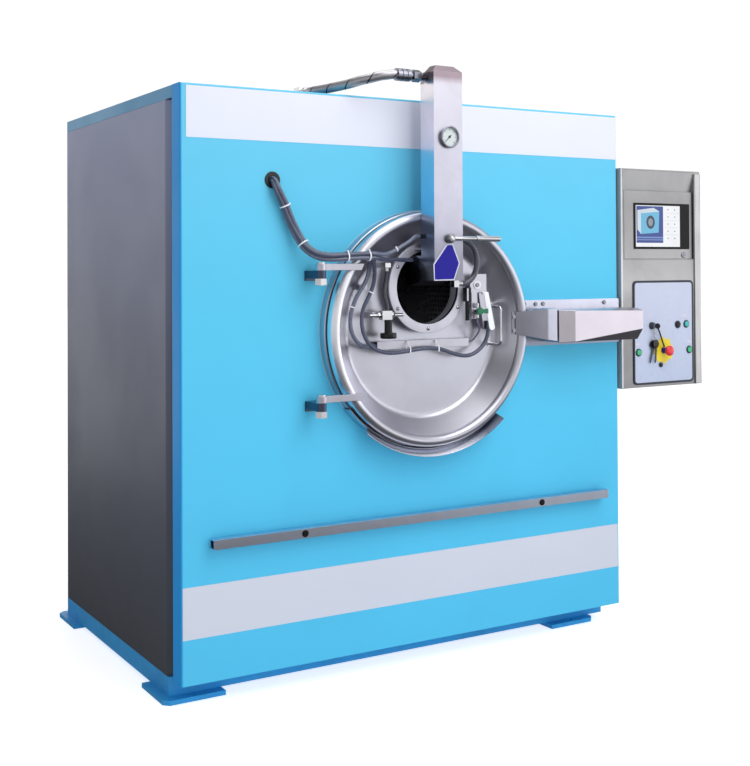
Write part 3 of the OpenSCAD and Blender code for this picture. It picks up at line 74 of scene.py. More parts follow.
def spot(x, out, z):
    """Metres in the model's frame of x, out and z in millimetres: (x - 1081, -out - 531, z + 75) / 1000."""
    x, out, z = np.broadcast_arrays(*(np.asarray(v, float) for v in (x, out, z)))
    return np.stack([x - PANEL_LEFT, -out - PANEL_FACE, z + PANEL_FOOT], axis=-1) / 1000


def spots(table):
    """The same for a table whose last direction holds x, out and z."""
    return spot(table[..., 0], table[..., 1], table[..., 2])


print("drum axis at", spot(*HUB).round(3))

# %% [markdown]
# ## The camera
# The picture was taken from the left and a little below the porthole, with the lens held level.
# Such a picture keeps upright edges upright, and the camera's shift lowers the view instead of
# tilting it. The shift is a share of the image's width: 133 of 750 pixels here. The camera comes
# first, because every later piece is judged through it.

# %% Camera
VIEW_W, VIEW_H = 750, 766  # pixels
FOCAL_PX, HORIZON_ROW = 1208.05, 249.96  # pixels
YAW, PITCH, ROLL = 30.77, -0.76, -0.28  # degrees
EYE = (-1379.4, 3480.3, 1281.7)  # x, out and z of the lens
FILM = 36  # millimetres
yaw, pitch, roll = (math.radians(a) for a in (YAW, PITCH, ROLL))
ahead = np.array([math.sin(yaw), math.cos(yaw), 0])
right = np.array([math.cos(yaw), -math.sin(yaw), 0])
up = np.array([0, 0, 1.0])
ahead, up = ahead * math.cos(pitch) - up * math.sin(pitch), up * math.cos(pitch) + ahead * math.sin(pitch)
right, up = right * math.cos(roll) + up * math.sin(roll), up * math.cos(roll) - right * math.sin(roll)
camera = bpy.data.objects.new("camera", bpy.data.cameras.new("camera"))
scene_collection = bpy.context.scene.collection
scene_collection.objects.link(camera)
bpy.context.scene.camera = camera
turn = np.stack([right, up, -ahead, spot(*EYE)], axis=1)
camera.matrix_world = Matrix([*turn.tolist(), [0, 0, 0, 1]])
camera.data.sensor_fit = "HORIZONTAL"
camera.data.sensor_width = FILM
camera.data.lens = FOCAL_PX / VIEW_W * FILM
camera.data.shift_y = (HORIZON_ROW - VIEW_H / 2) / VIEW_W
camera.data.clip_end = 40
print("lens", round(camera.data.lens, 2), "mm, shift", round(camera.data.shift_y, 3))

# %% [markdown]
# ## Surfaces from tables of points
# Every new piece here is a table of points: row i and column j is one vertex, and four neighbours
# make one face. Wrapping a direction closes it on itself, as a ring does. Doubled points, such as
# the pole of a dome, are merged afterwards and the faces are turned outwards. A mesh could also be
# pulled out of a cube by hand, but a table can be measured and changed by its numbers.

# %% From a table to a mesh
SHEET, TUBE, STRIP, LOOP = (False, False), (False, True), (True, False), (True, True)  # rows, columns wrapped


def skin(name, tables, wrap=TUBE, smooth=True, sharp=35):
    """Mesh of (m, n, 3) tables: vertex (i, j) of a table is number i * n + j, and a face joins it to
    (i, j+1), (i+1, j+1) and (i+1, j)."""
    tables = [tables] if isinstance(tables, np.ndarray) else tables
    faces, start = [], 0
    for table in tables:
        m, n = table.shape[:2]
        i, j = np.meshgrid(np.arange(m - (not wrap[0])), np.arange(n - (not wrap[1])), indexing="ij")
        i2, j2 = (i + 1) % m, (j + 1) % n
        faces.append(np.stack([i * n + j, i * n + j2, i2 * n + j2, i2 * n + j], axis=-1).reshape(-1, 4) + start)
        start += m * n
    mesh = bpy.data.meshes.new(name)
    mesh.from_pydata(np.concatenate([t.reshape(-1, 3) for t in tables]), [], np.concatenate(faces).tolist())
    return settled(name, mesh, smooth, sharp)


def crisp(bm, sharp):
    """Edges over sharp degrees, and edges without two faces, stay crisp; the rest are smooth."""
    for edge in bm.edges:
        edge.smooth = len(edge.link_faces) != 2 or edge.calc_face_angle(0) < math.radians(sharp)


def settled(name, mesh, smooth=True, sharp=35):
    """Object of a mesh whose doubled points are merged and whose faces point outwards."""
    bm = bmesh.new()
    bm.from_mesh(mesh)
    bmesh.ops.remove_doubles(bm, verts=bm.verts, dist=2e-6)
    bmesh.ops.dissolve_degenerate(bm, edges=bm.edges, dist=1e-7)
    bmesh.ops.recalc_face_normals(bm, faces=bm.faces)
    crisp(bm, sharp)
    bm.to_mesh(mesh)
    bm.free()
    mesh.polygons.foreach_set("use_smooth", [smooth] * len(mesh.polygons))
    piece = bpy.data.objects.new(name, mesh)
    scene_collection.objects.link(piece)
    return piece


def eased(corners, radius, steps=5, closed=True):
    """Outline with eased corners: corner C becomes (1-t)^2 A + 2t(1-t) C + t^2 B, where A and B lie radius
    before and after it."""
    c = np.asarray(corners, float)
    r = np.broadcast_to(np.asarray(radius, float), (len(c),))

    def toward(other):
        d = other - c
        long = np.maximum(np.linalg.norm(d, axis=1), 1e-9)
        return c + d / long[:, None] * np.minimum(r, 0.45 * long)[:, None]

    a, b = toward(np.roll(c, 1, 0)), toward(np.roll(c, -1, 0))
    t = np.linspace(0, 1, steps)[None, :, None]
    arcs = (1 - t) ** 2 * a[:, None] + 2 * t * (1 - t) * c[:, None] + t**2 * b[:, None]
    if not closed:
        arcs[0], arcs[-1] = c[0], c[-1]
    arcs = arcs.reshape(-1, c.shape[1])
    return arcs[np.r_[True, np.linalg.norm(np.diff(arcs, axis=0), axis=1) > 1e-6]]


def corners_of(x0, x1, y0, y1):
    """The four corners of a rectangle."""
    return [(x0, y0), (x1, y0), (x1, y1), (x0, y1)]


print("skin and eased are ready")

# %% [markdown]
# Round parts are profiles turned about a line. The line is given by a point on it and a direction,
# both in the fitter's x, out and z, so the same function makes the dish and a rod that lies on its
# side. Flat parts are outlines given a thickness, with a small round along their front edge, because
# no cut plate has a perfectly sharp edge and the round catches the light.

# %% Turned parts
TURNED_ABOUT = {
    "out": ((1, 0, 0), (0, 0, 1), (0, 1, 0)),
    "across": ((0, 1, 0), (0, 0, 1), (1, 0, 0)),
}  # two directions square to the line, and the line's own


def turning(profile, foot, axis="out", steps=96, sweep=(0, 360), capped_ends=False):
    """Table of a turned part: the point (r, t) of the profile at angle a lies at
    foot + t axis + r (u cos a + v sin a), with u and v square to the axis; a third number lifts the point."""
    u, v, w = (np.asarray(d, float) for d in TURNED_ABOUT[axis])
    p = np.asarray(profile, float)
    full = sweep[1] - sweep[0] >= 360
    a = np.radians(np.linspace(*sweep, steps, endpoint=not full))[None, :, None]
    r, t = p[:, 0, None, None], p[:, 1, None, None]
    table = np.asarray(foot, float) + t * w + r * (np.cos(a) * u + np.sin(a) * v)
    if p.shape[1] > 2:
        table = table + p[:, 2, None, None] * np.array([0, 0, 1.0])
    if capped_ends:
        ends = [np.repeat(table[:, k : k + 1].mean(0, keepdims=True), len(p), 0) for k in (0, -1)]
        table = np.concatenate([ends[0], table, ends[1]], axis=1)
    return spots(table)


def solid_profile(r, low, high, edge=1.0):
    """Profile of a solid cylinder from low to high with eased rims."""
    return eased([(0, low), (r, low), (r, high), (0, high)], [0, edge, edge, 0], closed=False)


print("turning is ready")

# %% Cut parts
def inset(outline, by):
    """The outline moved inwards by a distance: each point moves along the mean of its two edges' normals."""
    before, after = np.roll(outline, 1, 0), np.roll(outline, -1, 0)
    d = after - before
    normal = np.stack([-d[:, 1], d[:, 0]], axis=1) / np.linalg.norm(d, axis=1)[:, None]
    area = 0.5 * np.sum(outline[:, 0] * after[:, 1] - after[:, 0] * outline[:, 1])
    return outline + normal * by * np.sign(area)


def stacked(rows):
    """Table of outlines of x and z, each at its own distance out."""
    return np.stack([spot(o[:, 0], out, o[:, 1]) for o, out in rows])


def round_rows(outline, front, edge, steps, inwards=1):
    """Rows along a quarter round: at angle q the outline is inset by edge (1 - cos q) and lies at
    front - edge + edge sin q."""
    quarter = np.linspace(0, np.pi / 2, steps)
    return [
        (inset(outline, inwards * edge * (1 - math.cos(q))), front - edge + edge * math.sin(q))
        for q in quarter]


def cut_plate(outline, outs, edge=1.0, steps=4):
    """Table of a plate: the outline of x and z at the back, then at the front inset along a quarter round,
    closed to the middle at both ends."""
    outline = np.asarray(outline, float)
    middle = np.repeat(outline.mean(0, keepdims=True), len(outline), 0)
    within = inset(outline, edge + 0.05 * min(np.ptp(outline, axis=0).min(), 20))
    rows = [(middle, outs[0]), (outline, outs[0]), *round_rows(outline, outs[1], edge, steps)]
    return stacked([*rows, (within, outs[1]), (middle, outs[1])])


def cut_frame(outer, inner, outs, edge=0.8, steps=4):
    """Table of a flat frame between two outlines with the same number of points: outer wall, eased front,
    inner wall and back."""
    outer, inner = np.asarray(outer, float), np.asarray(inner, float)
    rows = [(outer, outs[0]), *round_rows(outer, outs[1], edge, steps)]
    rows += [(inset(outer, 1.3 * edge), outs[1]), (inset(inner, -1.3 * edge), outs[1])]
    rows += round_rows(inner, outs[1], edge, steps, inwards=-1)[::-1]
    return stacked([*rows, (inner, outs[0])])


def hex_heads(places, outs, r, washer=1.5):
    """Tables of hexagon heads whose line runs out of the panel: the radius at angle a is
    apothem / cos(a mod 60 - 30), kept under the chamfer's circle at the top."""
    a = np.radians(np.arange(0, 360, 6))
    hexagon = r * math.cos(math.pi / 6) / np.cos((a + math.pi / 6) % (math.pi / 3) - math.pi / 6)
    low, high, foot = outs[0], outs[1], outs[0] + washer
    rows = [(0 * a, low), (0 * a + 1.25 * r, low), (0 * a + 1.25 * r, foot), (hexagon, foot)]
    rows += [(hexagon, high - 1.2), (np.minimum(hexagon, 0.93 * r), high - 0.2), (0 * a, high)]
    return [np.stack([spot(x + q * np.cos(a), out, z + q * np.sin(a)) for q, out in rows]) for x, z in places]


print("cut_plate, cut_frame and hex_heads are ready")

# %% [markdown]
# A hose or cable is a circle carried along a route. The route is a smooth curve through a few
# points: a natural cubic spline, which bends as an even springy strip does. The circle has to stay
# square to the curve without twisting, so every ring is set up from one direction that no part of
# the route runs along: the direction in which its tangents vary least.

# %% Lines of cords
def through(route, step=5.0):
    """Even points on the natural cubic spline through the route: second derivatives M solve the tridiagonal
    system h(i-1) M(i-1) + 2 (h(i-1) + h(i)) M(i) + h(i) M(i+1) = 6 (slope(i) - slope(i-1))."""
    p = np.asarray(route, float)
    h = np.linalg.norm(np.diff(p, axis=0), axis=1)
    slope = np.diff(p, axis=0) / h[:, None]
    n = len(p)
    a, b = np.eye(n), np.zeros_like(p)
    k = np.arange(1, n - 1)
    a[k, k - 1], a[k, k], a[k, k + 1] = h[k - 1], 2 * (h[k - 1] + h[k]), h[k]
    b[1:-1] = 6 * np.diff(slope, axis=0)
    m = np.linalg.solve(a, b)
    knots = np.r_[0, np.cumsum(h)]
    s = np.linspace(0, knots[-1], 40 * n)
    i = np.clip(np.searchsorted(knots, s, side="right") - 1, 0, n - 2)
    u, w, g = (s - knots[i])[:, None], (knots[i + 1] - s)[:, None], h[i][:, None]
    bend = (m[i] * w**3 + m[i + 1] * u**3) / (6 * g)
    fine = bend + (p[i] / g - m[i] * g / 6) * w + (p[i + 1] / g - m[i + 1] * g / 6) * u
    run = run_of(fine)
    even = np.linspace(0, run[-1], max(3, int(round(run[-1] / step)) + 1))
    return np.stack([np.interp(even, run, fine[:, i]) for i in range(3)], axis=1)


def run_of(line):
    """How far each point lies along its line."""
    return np.r_[0, np.cumsum(np.linalg.norm(np.diff(line, axis=0), axis=1))]


def square_frames(line):
    """Tangent, side and top of each point of a line: the side is square to the tangent and to the direction
    in which the tangents vary least."""
    tangent = np.gradient(line, axis=0)
    tangent /= np.linalg.norm(tangent, axis=1)[:, None]
    steady = np.linalg.eigh(tangent.T @ tangent)[1][:, 0]
    side = np.cross(tangent, steady)
    side /= np.linalg.norm(side, axis=1)[:, None]
    return tangent, side, np.cross(side, tangent)


print("through is ready")

# %% Tubes along a line
def tube_points(line, radius, sides=16, centre=None):
    """Rings of a cord: p + r (cos a side + sin a top), in millimetres along the line; centre shifts each ring
    within its plane."""
    _, side, top = square_frames(line)
    a = np.linspace(0, 2 * np.pi, sides, endpoint=False)[None, :, None]
    radius = np.broadcast_to(np.asarray(radius, float), (len(line),))[:, None, None]
    middle = line if centre is None else line + centre[:, :1] * side + centre[:, 1:] * top
    return middle[:, None] + radius * (np.cos(a) * side[:, None] + np.sin(a) * top[:, None])


def cords(name, strands):
    """One mesh of cords closed to their middles; in the map, U counts the cords and runs round each, and V
    runs along it in metres."""
    points, faces, maps, start = [], [], [], 0
    for k, rings in enumerate(strands):
        ends = [np.repeat(rings[e].mean(0)[None], rings.shape[1], 0)[None] for e in (0, -1)]
        rings = np.concatenate([ends[0], rings, ends[1]])
        m, n = rings.shape[:2]
        points.append(spots(rings).reshape(-1, 3))
        i, j = np.meshgrid(np.arange(m - 1), np.arange(n), indexing="ij")
        j2 = (j + 1) % n
        corners = np.stack([i * n + j, i * n + j2, (i + 1) * n + j2, (i + 1) * n + j], axis=-1)
        faces.append(start + corners.reshape(-1, 4))
        u = k + 0.999 * np.stack([j, j + 1, j + 1, j], axis=-1) / n
        along = run_of(rings.mean(1))[np.stack([i, i, i + 1, i + 1], axis=-1)] / 1000
        maps.append(np.stack([u, along], axis=-1).reshape(-1, 4, 2))
        start += m * n
    mesh = bpy.data.meshes.new(name)
    mesh.from_pydata(np.concatenate(points), [], np.concatenate(faces).tolist())
    mesh.uv_layers.new(name="along").data.foreach_set("uv", np.concatenate(maps).astype(np.float32).ravel())
    return settled(name, mesh, sharp=50)


print("tube_points and cords are ready")

# %% [markdown]
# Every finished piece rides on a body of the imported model, so that it moves with its joint, and it
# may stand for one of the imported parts, which is then hidden. The helpers below make a piece and
# say both in one line.

# %% Pieces with their finish, body and part
def ride_as(piece, material, body, *instead):
    """Gives a piece its finish, its body and the parts it stands for."""
    piece.data.materials.clear()
    piece.data.materials.append(material)
    if body:
        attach(piece, body)
    if instead:
        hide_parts(*instead)
    return piece


def shaped(name, tables, material, body, *instead, **how):
    """A piece of one or more tables."""
    return ride_as(skin(name, tables, **how), material, body, *instead)


def lathed(name, profile, foot, material, body, *instead, axis="out", closed=True, steps=96, sharp=35):
    """A turned piece; a profile that isn't closed runs from the axis out and back to it."""
    table = turning(profile, foot, axis, steps)
    return ride_as(skin(name, table, wrap=(closed, True), sharp=sharp), material, body, *instead)


def lathed_solid(name, corners, easing, foot, material, body, *instead, rounds=5, **how):
    """A turned piece without a hole, whose profile's corners are eased."""
    profile = eased(corners, easing, steps=rounds, closed=False)
    return lathed(name, profile, foot, material, body, *instead, closed=False, **how)


def roped(name, lines, radius, material, body, *instead, sides=16):
    """A piece of one or more cords with the same radius."""
    return ride_as(cords(name, [tube_points(line, radius, sides) for line in lines]), material, body, *instead)


print("shaped, lathed and roped are ready")

# %% [markdown]
# ## Finishes
# Each finish is a small graph of nodes. One helper adds a node and fills its inputs, either with a
# number or with another node's output, so that the graphs below read like a recipe. Blender could
# also paint pictures onto the parts, but a recipe stays sharp at any distance.

# %% Helpers for shader nodes
def fill(tree, node, inputs):
    """Gives a node's inputs their numbers, or joins them to other nodes' outputs."""
    for key, value in inputs.items():
        if isinstance(value, bpy.types.NodeSocket):
            tree.links.new(value, node.inputs[key])
        else:
            node.inputs[key].default_value = value


def add(tree, kind, inputs=None, **settings):
    """A node of a kind, with its settings and inputs."""
    made = tree.nodes.new("ShaderNode" + kind)
    for key, value in settings.items():
        setattr(made, key, value)
    fill(tree, made, inputs or {})
    return made


def first_of(tree, kind):
    """The first node of a type in a tree."""
    return next(n for n in tree.nodes if n.type == kind)


def sums(operation):
    """A function that adds one Math node of an operation and gives its result."""
    def result(tree, a, b=0.0, clamp=False):
        return add(tree, "Math", {0: a, 1: b}, operation=operation, use_clamp=clamp).outputs[0]
    return result


plus, minus, times = sums("ADD"), sums("SUBTRACT"), sums("MULTIPLY")
larger, smaller, root = sums("MAXIMUM"), sums("MINIMUM"), sums("SQRT")
bearing_of = sums("ARCTAN2")
part_after, whole_of, rest_of = sums("FRACT"), sums("FLOOR"), sums("MODULO")


def split(tree, vector):
    """X, Y and Z of a vector."""
    return add(tree, "SeparateXYZ", {"Vector": vector}).outputs


def ranged(tree, value, low, high, start=0.0, end=1.0):
    """A value between start and end brought to between low and high."""
    limits = {"From Min": start, "From Max": end, "To Min": low, "To Max": high}
    return add(tree, "MapRange", {"Value": value, **limits}).outputs["Result"]


def ramped(tree, share, stops):
    """Colour of a ramp whose stops are (share, colour in linear light)."""
    made = add(tree, "ValToRGB", {"Fac": share})
    elements = made.color_ramp.elements
    while len(elements) < len(stops):
        elements.new(0.5)
    for element, (reached, colour) in zip(elements, stops):
        element.position, element.color = reached, (*colour, 1)
    return made.outputs["Color"]


def bumped(tree, height, strength, distance):
    """Normal of a surface that a height lifts."""
    return add(tree, "Bump", {"Height": height, "Strength": strength, "Distance": distance}).outputs["Normal"]


print("node helpers are ready")

# %% [markdown]
# Four effects are shared by many finishes, so each is a group that is built once.
# **Peel** is the soft ripple of sprayed paint. **Grain** is the line left by a sanding belt: noise
# that is stretched along one direction by the finish's own Mapping node. **Spun grain** is the same
# line turned round the drum's axis, as on a dish that was polished on a lathe: the noise is read
# from the distance to the axis, with only a little of the angle. **Smudge** is large and soft, for
# fingerprints, uneven polish and slight dirt.

# %% Shared effects
def effect(name, inputs, output):
    """An empty node group with a vector, named numbers and one named output; what it is given and what it
    gives."""
    tree = bpy.data.node_groups.new(name, "ShaderNodeTree")
    tree.interface.new_socket("Vector", in_out="INPUT", socket_type="NodeSocketVector")
    for key, value in inputs.items():
        made = tree.interface.new_socket(key, in_out="INPUT", socket_type="NodeSocketFloat")
        made.default_value = value
    tree.interface.new_socket(output, in_out="OUTPUT", socket_type="NodeSocketFloat")
    return tree, tree.nodes.new("NodeGroupInput").outputs, tree.nodes.new("NodeGroupOutput").inputs


def noise(tree, vector, scale, detail=2.0, rough=0.5, **more):
    """Noise at a vector."""
    numbers = {"Scale": scale, "Detail": detail, "Roughness": rough, **more}
    return add(tree, "TexNoise", {"Vector": vector, **numbers}).outputs["Fac"]


peel_tree, given, result = effect("sprayed peel", {"Scale": 240.0}, "Height")
ripple = noise(peel_tree, given["Vector"], given["Scale"], 2.0, 0.4)
fleck = noise(peel_tree, given["Vector"], 900.0, 1.0)
peel_tree.links.new(plus(peel_tree, ripple, times(peel_tree, fleck, 0.25)), result["Height"])

grain_tree, given, result = effect("belt grain", {"Scale": 60.0}, "Grain")
coarse = noise(grain_tree, given["Vector"], given["Scale"], 6.0, 0.75)
fine = noise(grain_tree, given["Vector"], times(grain_tree, given["Scale"], 6.0), 3.0, 0.8)
both = plus(grain_tree, times(grain_tree, coarse, 0.55), times(grain_tree, fine, 0.45))
grain_tree.links.new(both, result["Grain"])

spun_tree, given, result = effect("spun grain", {"Rings": 420.0}, "Grain")
x, y, z = split(spun_tree, given["Vector"])
reach = root(spun_tree, plus(spun_tree, times(spun_tree, x, x), times(spun_tree, z, z)))
rings = {"X": times(spun_tree, reach, given["Rings"]), "Y": times(spun_tree, bearing_of(spun_tree, z, x), 1.6)}
along = add(spun_tree, "CombineXYZ", {**rings, "Z": times(spun_tree, y, 90.0)})
spun_tree.links.new(noise(spun_tree, along.outputs[0], 1.0, 5.0, 0.7), result["Grain"])

smudge_tree, given, result = effect("smudge", {"Scale": 4.0, "Low": 0.42, "High": 0.68}, "Mask")
cloud = noise(smudge_tree, given["Vector"], given["Scale"], 5.0, 0.6, Distortion=0.4)
smudge_tree.links.new(ranged(smudge_tree, cloud, 0.0, 1.0, given["Low"], given["High"]), result["Mask"])
print(len(bpy.data.node_groups), "shared effects")

# %% [markdown]
# The colours below are given as they look on a screen. The photographed panels aren't one colour:
# the studio's light fades down the cabinet and along the steel. So a colour may follow one object
# coordinate through a few stops, and noise bends the joins so that they never look ruled.

# %% Colours
def linear(*colour):
    """Linear light of a colour that is given in the 0 to 255 of a screen: c / 12.92 near black and
    ((c + 0.055) / 1.055)^2.4 above."""
    c = np.asarray(colour, float) / 255
    return tuple(np.where(c <= 0.04045, c / 12.92, ((c + 0.055) / 1.055) ** 2.4))


def tinted(tree, colour, other, mask):
    """Colour where the mask is 0 and the other colour where it is 1."""
    return add(tree, "Mix", {0: mask, 6: (*colour, 1), 7: (*other, 1)}, data_type="RGBA").outputs[2]


def follows(tree, place, axis, wander, stops):
    """Colour that follows one coordinate: stops are (metres, colour), joined smoothly, and wander bends the
    joins by that many metres."""
    at = split(tree, place)[axis]
    if wander:
        at = plus(tree, at, times(tree, minus(tree, noise(tree, place, 1.1), 0.5), wander))
    first, last = stops[0][0], stops[-1][0]
    shares = [((reached - first) / (last - first), linear(*colour)) for reached, colour in stops]
    return ramped(tree, ranged(tree, at, 0.0, 1.0, first, last), shares)


def colouring(tree, place, colour, mask, dirt):
    """Base colour, darker where it is smudged: three numbers of a screen, or (axis, wander, stops) for one
    that follows a coordinate."""
    if isinstance(colour[0], str):
        shade = {0: follows(tree, place, *colour), "Scale": ranged(tree, mask, 1.0, dirt)}
        return add(tree, "VectorMath", shade, operation="SCALE").outputs["Vector"]
    base = linear(*colour)
    return tinted(tree, base, tuple(v * dirt for v in base), mask)


print("colours are ready")

# %% [markdown]
# Two recipes cover almost everything. **Painted** is sheet metal or moulded plastic: its colour drifts
# a little with the smudges, its roughness too, and the peel gives it a skin. **Metal** is bare
# steel: its grain changes both the roughness and, very slightly, the surface itself, which is what
# spreads its highlights across the brushing.

# %% Recipes for painted and bare surfaces
PAINT_COAT_ROUGHNESS = 0.12
PEEL_DEPTH, GRAIN_DEPTH = 0.0006, 0.0004  # metres


def blank(name):
    """A material with its shader, its object coordinates and its tree."""
    material = bpy.data.materials.new(name)
    material.use_nodes = True
    tree = material.node_tree
    return material, tree, first_of(tree, "BSDF_PRINCIPLED"), add(tree, "TexCoord").outputs["Object"]


def shared(tree, group, **inputs):
    """One of the shared effects, placed in a material."""
    return add(tree, "Group", inputs, node_tree=group).outputs[0]


def painted(name, colour, rough=(0.3, 0.42), peel=0.15, scale=240.0, dirt=0.92, coat=0.0, patch=3.0, shine=0.5):
    """Paint or plastic: dirt is how dark its smudged places are."""
    material, tree, shader, place = blank(name)
    mask = shared(tree, smudge_tree, Vector=place, Scale=patch)
    height = shared(tree, peel_tree, Vector=place, Scale=scale)
    fill(tree, shader, {
        "Base Color": colouring(tree, place, colour, mask, dirt),
        "Roughness": ranged(tree, mask, *rough),
        "Specular IOR Level": shine,
        "Coat Weight": coat,
        "Coat Roughness": PAINT_COAT_ROUGHNESS,
        "Normal": bumped(tree, height, peel, PEEL_DEPTH),
    })
    return material


def metal(name, colour, rough=(0.2, 0.36), stretch=(1, 1, 1), spun_about=None, depth=0.12, dirt=0.86, bare=1.0):
    """Bare metal: the grain runs along the axis whose stretch is small, or round a centre in metres; bare is
    below 1 under a dull skin."""
    material, tree, shader, place = blank(name)
    if spun_about is None:
        mapped = add(tree, "Mapping", {"Vector": place, "Scale": stretch})
        grain = shared(tree, grain_tree, Vector=mapped.outputs[0], Scale=60.0)
    else:
        mapped = add(tree, "Mapping", {"Vector": place, "Location": tuple(-np.asarray(spun_about))})
        grain = shared(tree, spun_tree, Vector=mapped.outputs[0])
    mask = shared(tree, smudge_tree, Vector=place, Scale=5.0)
    worn = plus(tree, times(tree, grain, 0.75), times(tree, mask, 0.25))
    fill(tree, shader, {
        "Base Color": colouring(tree, place, colour, mask, dirt),
        "Metallic": bare,
        "Roughness": ranged(tree, worn, *rough),
        "Normal": bumped(tree, grain, depth, GRAIN_DEPTH),
    })
    return material


print("painted and metal are ready")

# %% [markdown]
# The cabinet is sprayed sky blue, its sides and back a dull grey, and the skid a deeper blue. The
# front sheet is folded back at its left end, and the fold faces away from the light, so it gets a
# deeper blue there: a narrow ramp over X mixes it in.

# %% Paint of the cabinet
# The stops paint light on the sheets: the sides and the bands are lighter towards the top, where the light
# falls stronger, and the front's blue shifts a little with height.
SKY = ((0.1, (86, 195, 237)), (0.75, (88, 196, 237)), (1.2, (92, 198, 235)), (1.95, (108, 197, 230)))
SIDE = ((0.1, (78, 81, 88)), (0.55, (88, 91, 104)), (1.1, (114, 117, 134)), (1.95, (160, 166, 194)))
BAND = ((0.3, (208, 213, 226)), (0.9, (214, 218, 230)), (1.5, (219, 223, 237)), (1.95, (225, 228, 242)))
FOLD_BLUE = (40, 160, 238)
FOLD_STARTS, FOLD_FULL = 0.006, 0.001  # metres from the left end
sky_blue = painted("sky blue paint", ("Z", 0.25, SKY), rough=(0.36, 0.46), dirt=0.97, shine=0.1)
tree = sky_blue.node_tree
shader = first_of(tree, "BSDF_PRINCIPLED")
across = split(tree, first_of(tree, "TEX_COORD").outputs["Object"])["X"]
left_end = -PANEL_LEFT / 1000
near_fold = ranged(tree, across, 0.0, 1.0, left_end + FOLD_STARTS, left_end + FOLD_FULL)
panel_blue = shader.inputs["Base Color"].links[0].from_socket
folded = add(tree, "Mix", {0: near_fold, 6: panel_blue, 7: (*linear(*FOLD_BLUE), 1)}, data_type="RGBA")
tree.links.new(folded.outputs[2], shader.inputs["Base Color"])
cap_blue = painted("cap paint", (66, 150, 196), rough=(0.38, 0.5), dirt=0.97, patch=1.5)
skid_blue = painted("skid paint", (50, 172, 242), rough=(0.34, 0.5), peel=0.3, dirt=0.8)
PALE_SHEET = dict(peel=0.12, dirt=0.97, patch=1.2, shine=0.15)
side_grey = painted("side paint", ("Z", 0.25, SIDE), rough=(0.4, 0.55), **PALE_SHEET)
band_white = painted("white band", ("Z", 0.25, BAND), rough=(0.3, 0.42), **PALE_SHEET)
print(len(bpy.data.materials), "paints")

# %% [markdown]
# The door is polished steel, spun about the drum's axis. The tower and the covers are brushed along
# their length. Where the photograph shows the light on a part fade along its length, its colour
# follows X or Z: those stops are painted light, shade and reflection.

# %% Steels
DRUM_AXIS, PORT_AXIS = tuple(spot(*HUB)), tuple(spot(*PORT))
UPRIGHT, LEVEL = dict(stretch=(1, 1, 0.03), depth=0.1), dict(stretch=(0.03, 1, 1), depth=0.1)
SPUN = dict(spun_about=DRUM_AXIS, depth=0.05)


def along_x(*stops):
    """Stops over X from places in millimetres to the right of the panel's left edge."""
    return "X", 0, [(spot(x, 0, 0)[0], tone) for x, tone in stops]


# Painted highlight: the door's dish is lighter along its left side.
DISH = along_x((483, (250, 250, 255)), (553, (242, 242, 250)), (613, (203, 203, 213)), (1283, (203, 203, 213)))
# Painted light and shade on the drip tray: bright in its middle, dark at its right end.
TRAY = ((-0.6, (172, 178, 194)), (-0.38, (232, 236, 248)), (-0.12, (232, 236, 248)), (0.02, (96, 102, 118)),
        (0.2, (84, 90, 106)))
# Painted reflection: the tower's pointed cap is darker and warmer.
CAP = ((1.962, (202, 199, 209)), (1.985, (156, 140, 148)), (2.03, (160, 144, 152)))
# Painted reflection and shade up the tower's front: dark at its foot, where it faces the dish, lighter above,
# then the cap's painted reflection.
TOWER = ((1.22, (140, 140, 154)), (1.4, (158, 158, 172)), (1.44, (168, 168, 182)), (1.485, (193, 192, 207)),
         (1.6, (206, 205, 220)), *CAP)
# Painted reflections on the tower's polished left side: dark at its foot, then the blue panel, then the white
# band near the top.
SIDES = ((1.22, (80, 82, 90)), (1.34, (108, 112, 122)), (1.42, (188, 206, 234)), (1.6, (206, 220, 246)),
         (1.8, (224, 222, 232)), (1.962, (230, 224, 228)), *CAP[1:])
# Painted shadow: the lock plate is darker towards its foot.
LOCK = ((1.05, (150, 157, 176)), (1.12, (176, 181, 197)), (1.19, (218, 220, 234)), (1.24, (220, 222, 236)))
# Painted highlight: a light band on the latch cover's right end.
LATCH = along_x(
    (1216, (140, 139, 150)), (1338, (150, 149, 160)), (1344, (208, 208, 222)), (1400, (208, 208, 222)))
# Painted light and shade up the control box: dark at its foot, lightest near the middle.
BOX = ((0.8, (122, 121, 121)), (0.86, (150, 149, 149)), (1.18, (165, 164, 164)), (1.28, (184, 183, 183)),
       (1.34, (174, 173, 173)), (1.58, (154, 153, 153)), (1.66, (164, 163, 163)))
dish_steel = metal("spun dish steel", (203, 203, 213), (0.27, 0.4), dirt=0.92, bare=0.97, **SPUN)
door_steel = metal("spun door steel", DISH, (0.27, 0.4), dirt=0.92, bare=0.97, **SPUN)
tray_steel = metal("spun tray steel", ("X", 0, TRAY), (0.2, 0.34), **SPUN)
ring_steel = metal(
    "turned ring steel", (204, 203, 214), (0.3, 0.44), spun_about=PORT_AXIS, depth=0.08, bare=0.5)
upright_steel = metal("steel brushed upright", ("Z", 0, TOWER), (0.28, 0.42), **UPRIGHT)
side_steel = metal("polished side steel", ("Z", 0, SIDES), (0.18, 0.3), stretch=(1, 1, 0.03), depth=0.05)
level_steel = metal("steel brushed level", (200, 198, 208), (0.26, 0.4), **LEVEL)
under_steel = metal("shaded steel", (132, 129, 136), (0.3, 0.44), **LEVEL)
lock_steel = metal("lock plate steel", ("Z", 0, LOCK), (0.3, 0.45), stretch=(0.05, 1, 1), depth=0.1)
latch_steel = metal("latch steel", LATCH, (0.3, 0.44), **LEVEL)
cover_steel = metal("cover steel", (222, 214, 222), (0.28, 0.42), dirt=0.93, **LEVEL)
rail_steel = metal("rail steel", (212, 218, 234), (0.24, 0.38), **LEVEL)
